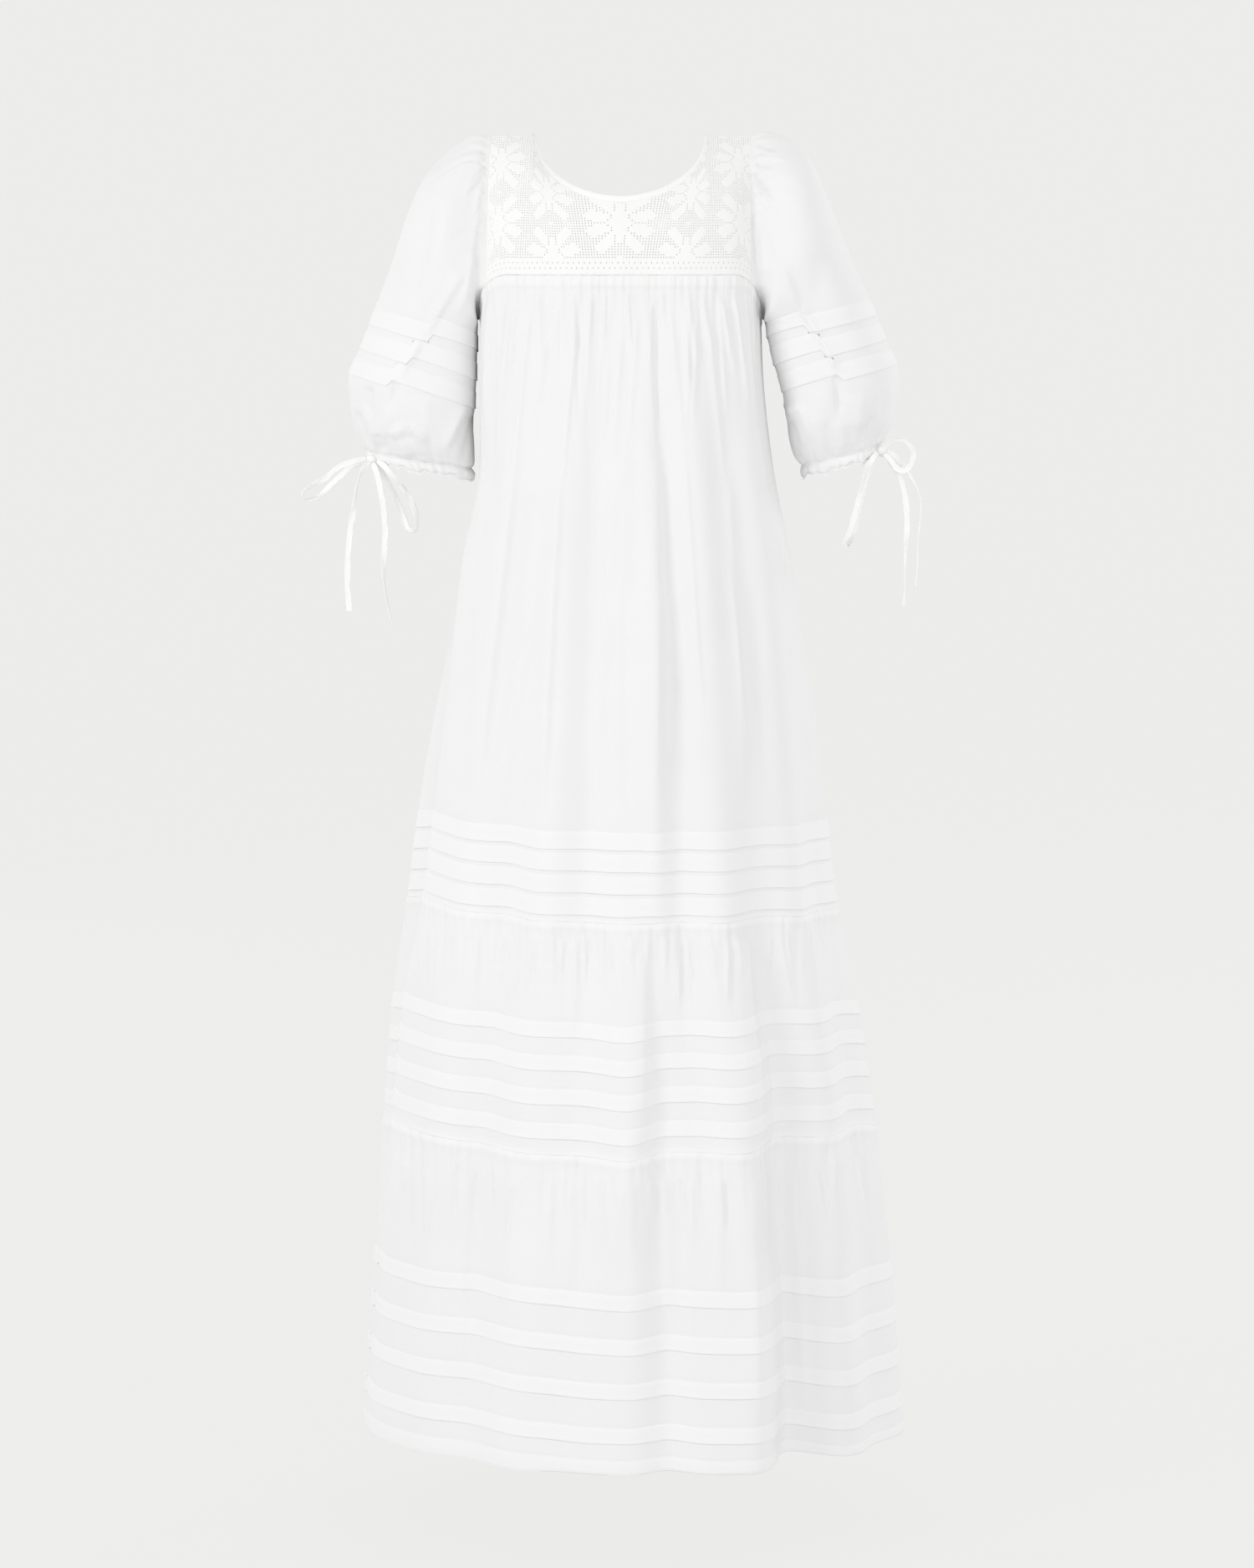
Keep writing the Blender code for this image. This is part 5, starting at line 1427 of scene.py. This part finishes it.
def make_voile():
    """Cotton voile, plain woven and washed: matt, a little uneven, whiter where it lies double.
    Its threads are 0.7 mm apart, about twice as coarse as real voile's, so that they show."""
    material, tree, shader = new_material("washed_cotton_voile", 0.86)
    uv = node(tree, "ShaderNodeUVMap", {"uv_map": "cloth"}).outputs["UV"]
    place = node(tree, "ShaderNodeTexCoord").outputs["Object"]
    cloud = {"Scale": 14.0, "Detail": 3.0, "Roughness": 0.6}
    single = drifting_tone(tree, place, cloud, "#E8E8E8", "#ECECEC")
    double = node(tree, "ShaderNodeAttribute", {"attribute_name": "double"}).outputs["Fac"]
    both = node(tree, "ShaderNodeMix", {"data_type": "RGBA"}, {7: linear("#EDEDED")},
                {0: double, 6: single})
    slub = {"Scale": 420.0, "Detail": 2.0}
    slub = node(tree, "ShaderNodeTexNoise", None, slub, {"Vector": place}).outputs["Fac"]
    height = node(tree, "ShaderNodeMath", {"operation": "ADD"}, None,
                  {0: weave(tree, uv, 0.0007), 1: slub})
    join_up(tree, shader, both.outputs[2], height.outputs["Value"], 0.22, 0.00012)
    return material


def make_lace_thread():
    """Mercerised cotton crochet thread, darned and knotted into a net: matt with a slight gloss
    and a twist that shows as a fine uneven surface."""
    material, tree, shader = new_material("crocheted_cotton_thread", 0.78)
    place = node(tree, "ShaderNodeTexCoord").outputs["Object"]
    tone = drifting_tone(tree, place, {"Scale": 30.0, "Detail": 3.0}, "#EEEEEC", "#F2F2F0")
    twist = {"Scale": 1600.0, "Detail": 2.0}
    twist = node(tree, "ShaderNodeTexNoise", None, twist, {"Vector": place}).outputs["Fac"]
    join_up(tree, shader, tone, twist, 0.35, 0.00015)
    return material


def make_tape():
    """Cotton tape and bias binding: a close weave, denser and whiter than the voile."""
    material, tree, shader = new_material("woven_cotton_tape", 0.8)
    uv = node(tree, "ShaderNodeUVMap", {"uv_map": "cloth"}).outputs["UV"]
    place = node(tree, "ShaderNodeTexCoord").outputs["Object"]
    tone = drifting_tone(tree, place, {"Scale": 60.0, "Detail": 3.0}, "#F0F0EF", "#F8F8F7")
    join_up(tree, shader, tone, weave(tree, uv, 0.0006), 0.3, 0.00015)
    return material


def make_camera():
    """The camera at the photograph's distance and height, level from side to side."""
    camera = bpy.data.cameras.new("camera")
    camera.lens = CAMERA_LENS
    camera.sensor_width = CAMERA_SENSOR
    camera.clip_end = CAMERA_REACH
    holder = bpy.data.objects.new("camera", camera)
    bpy.context.scene.collection.objects.link(holder)
    away = np.array(CAMERA_AIM) - np.array(CAMERA_PLACE)
    pitch = math.atan2(-away[2], away[1])
    holder.location = CAMERA_PLACE
    holder.rotation_euler = (math.pi / 2 - pitch, 0.0, 0.0)
    bpy.context.scene.camera = holder


def aimed(holder, place, aim):
    """Turns a light so that its face looks from its place to its aim."""
    x, y, z = (a - p for a, p in zip(aim, place))
    flat = math.hypot(x, y)
    holder.rotation_euler = (math.atan2(flat, -z), 0.0, math.atan2(y, x) - math.pi / 2)


def make_backdrop():
    """A pale floor under the dress that turns up into a round wall far away: a flat disc, a
    quarter circle and an upright, carried round the upright axis."""
    bend = np.linspace(0, math.pi / 2, 13)
    curve = FLOOR_RADIUS + WALL_BEND * np.sin(bend)
    radius = np.concatenate([[0.01, 2.0, 5.0], curve, [FLOOR_RADIUS + WALL_BEND]])[:, None]
    height = np.concatenate([[0.0] * 3, WALL_BEND * (1 - np.cos(bend)), [3 * WALL_BEND]])[:, None]
    turn = round_turns(WALL_SIDES)
    points = [radius * np.cos(turn), radius * np.sin(turn), FLOOR_Z + height + 0 * turn]
    points = np.stack(points, axis=-1)
    number = first_again(np.arange(points[..., 0].size).reshape(len(radius), -1))
    faces = np.stack([number[:-1, :-1], number[1:, :-1], number[1:, 1:], number[:-1, 1:]], axis=-1)
    faces = [*faces.reshape(-1, 4).tolist(), number[0, :-1][::-1].tolist()]
    material, _, shader = new_material("pale_paper_backdrop", 0.95)
    shader.inputs["Base Color"].default_value = linear("#383838")
    shader.inputs["Specular IOR Level"].default_value = 0.0
    shader.inputs["Sheen Weight"].default_value = 0.0
    shader.inputs["Emission Color"].default_value = linear(BACKDROP)
    shader.inputs["Emission Strength"].default_value = BACKDROP_GLOW
    backdrop = mesh_of("backdrop", points, faces, material)
    backdrop.visible_diffuse = False
    backdrop.visible_glossy = False
    backdrop.visible_shadow = False


def make_studio():
    """The backdrop, an even pale room and large soft lights, brighter from the viewer's left."""
    scene = bpy.context.scene
    scene.view_settings.view_transform = "Standard"
    scene.world = bpy.data.worlds.new("room")
    scene.world.use_nodes = True
    room = scene.world.node_tree.nodes["Background"]
    room.inputs["Color"].default_value = linear("#FFFFFF")
    room.inputs["Strength"].default_value = ROOM_LIGHT
    make_backdrop()
    for name, place, size, power in LIGHTS:
        light = bpy.data.lights.new(name, "AREA")
        light.shape = "SQUARE"
        light.size = size
        light.energy = power
        holder = bpy.data.objects.new(name, light)
        scene.collection.objects.link(holder)
        holder.location = place
        aimed(holder, place, LIGHT_AIM)


def sew_in(piece, node_name, finish):
    """Stands a panel in for its solid, on the dress's one body."""
    replace_node(piece, node_name, finish=finish)


make_camera()
make_studio()
voile, lace, tape = make_voile(), make_lace_thread(), make_tape()

# Ties first: each is a cord, a loop from its knot back to it or a free tail.
cord_seeds = iter(range(40, 60))
for side, knot, ties in (("left", LEFT_KNOT, LEFT_TIES), ("right", RIGHT_KNOT, RIGHT_TIES)):
    wrapped_knot = make_knot(f"knot_{side}", knot, tape)
    replace_node(wrapped_knot, f"knot_{side}", finish="binding")
    for name, route in ties.items():
        ribbon, path = make_ribbon(name, route, np.array(knot), tape, next(cord_seeds))
        replace_node(ribbon, name, finish="binding")

# Small folds between the single ones, and the two tiers: where each starts and ends, its tucks,
# the plain rows above the first one, its last rows and its folds.
body_small = random_folds(3, 26, 0.145, YOKE_SEAM_Z - 0.008, 0.16, 0.0024, 0.0012)
body_low = random_folds(4, 9, 0.20, -0.42, 0.34, 0.006, 0.0012)
tier_two_small = random_folds(5, 44, 0.235, BODY_SEAM_Z - 0.003, 0.075, 0.0022, 0.0013)
tier_three_small = random_folds(6, 40, 0.265, TIER_SEAM_Z - 0.003, 0.085, 0.0024, 0.0013)
TIERS = (
    ("tier_two", BODY_SEAM_Z, TIER_SEAM_Z, TIER_TWO, 7, seam_rows,
     [*TIER_TWO_FOLDS, *tier_two_small]),
    ("tier_three", TIER_SEAM_Z, HEM_Z, TIER_THREE, 12, hem_rows,
     [*TIER_THREE_FOLDS, *tier_three_small]),
)

binding = make_neck_binding(tape)
replace_node(binding, "neck_binding", finish="binding")
for half, neck in (("front", NECK_FRONT), ("back", NECK_BACK)):
    yoke = make_yoke_lace(half, neck, lace)
    sew_in(yoke, f"yoke_{half}", "lace")

for half, seed in (("front", 0), ("back", 300)):
    rows = [*BODY_FOLDS, *body_small, *body_low]
    rows = rows if half == "front" else mirrored(rows, 0.012)
    body = make_panel("body", half, body_form, YOKE_GATHERS, rows, seed + 1, voile)
    sew_in(body, f"body_{half}", "voile")
    for stretch, top, end, tucks, count, last, rows in TIERS:
        def form(phi, top=top, end=end, tucks=tucks, count=count, last=last):
            return tier_form(phi, top, end, tucks, count, last)

        rows = rows if half == "front" else mirrored(rows, 0.015)
        panel = make_panel(stretch, half, form, TIER_GATHERS, rows, seed + round(-100 * top), voile)
        sew_in(panel, f"{stretch}_{half}", "voile")

for name, side, rows, fold_rows, seed in (
    ("right", 1, RIGHT_SLEEVE, RIGHT_SLEEVE_FOLDS, 1.3),
    ("left", -1, LEFT_SLEEVE, LEFT_SLEEVE_FOLDS, 4.1),
):
    sleeve, rings = make_sleeve_cloth(name, side, rows, fold_rows, voile, seed)
    sew_in(sleeve, f"sleeve_{name}", "voile")
    cuff = make_cuff_cloth(name, side, rings, voile, seed)
    sew_in(cuff, f"cuff_{name}", "binding")
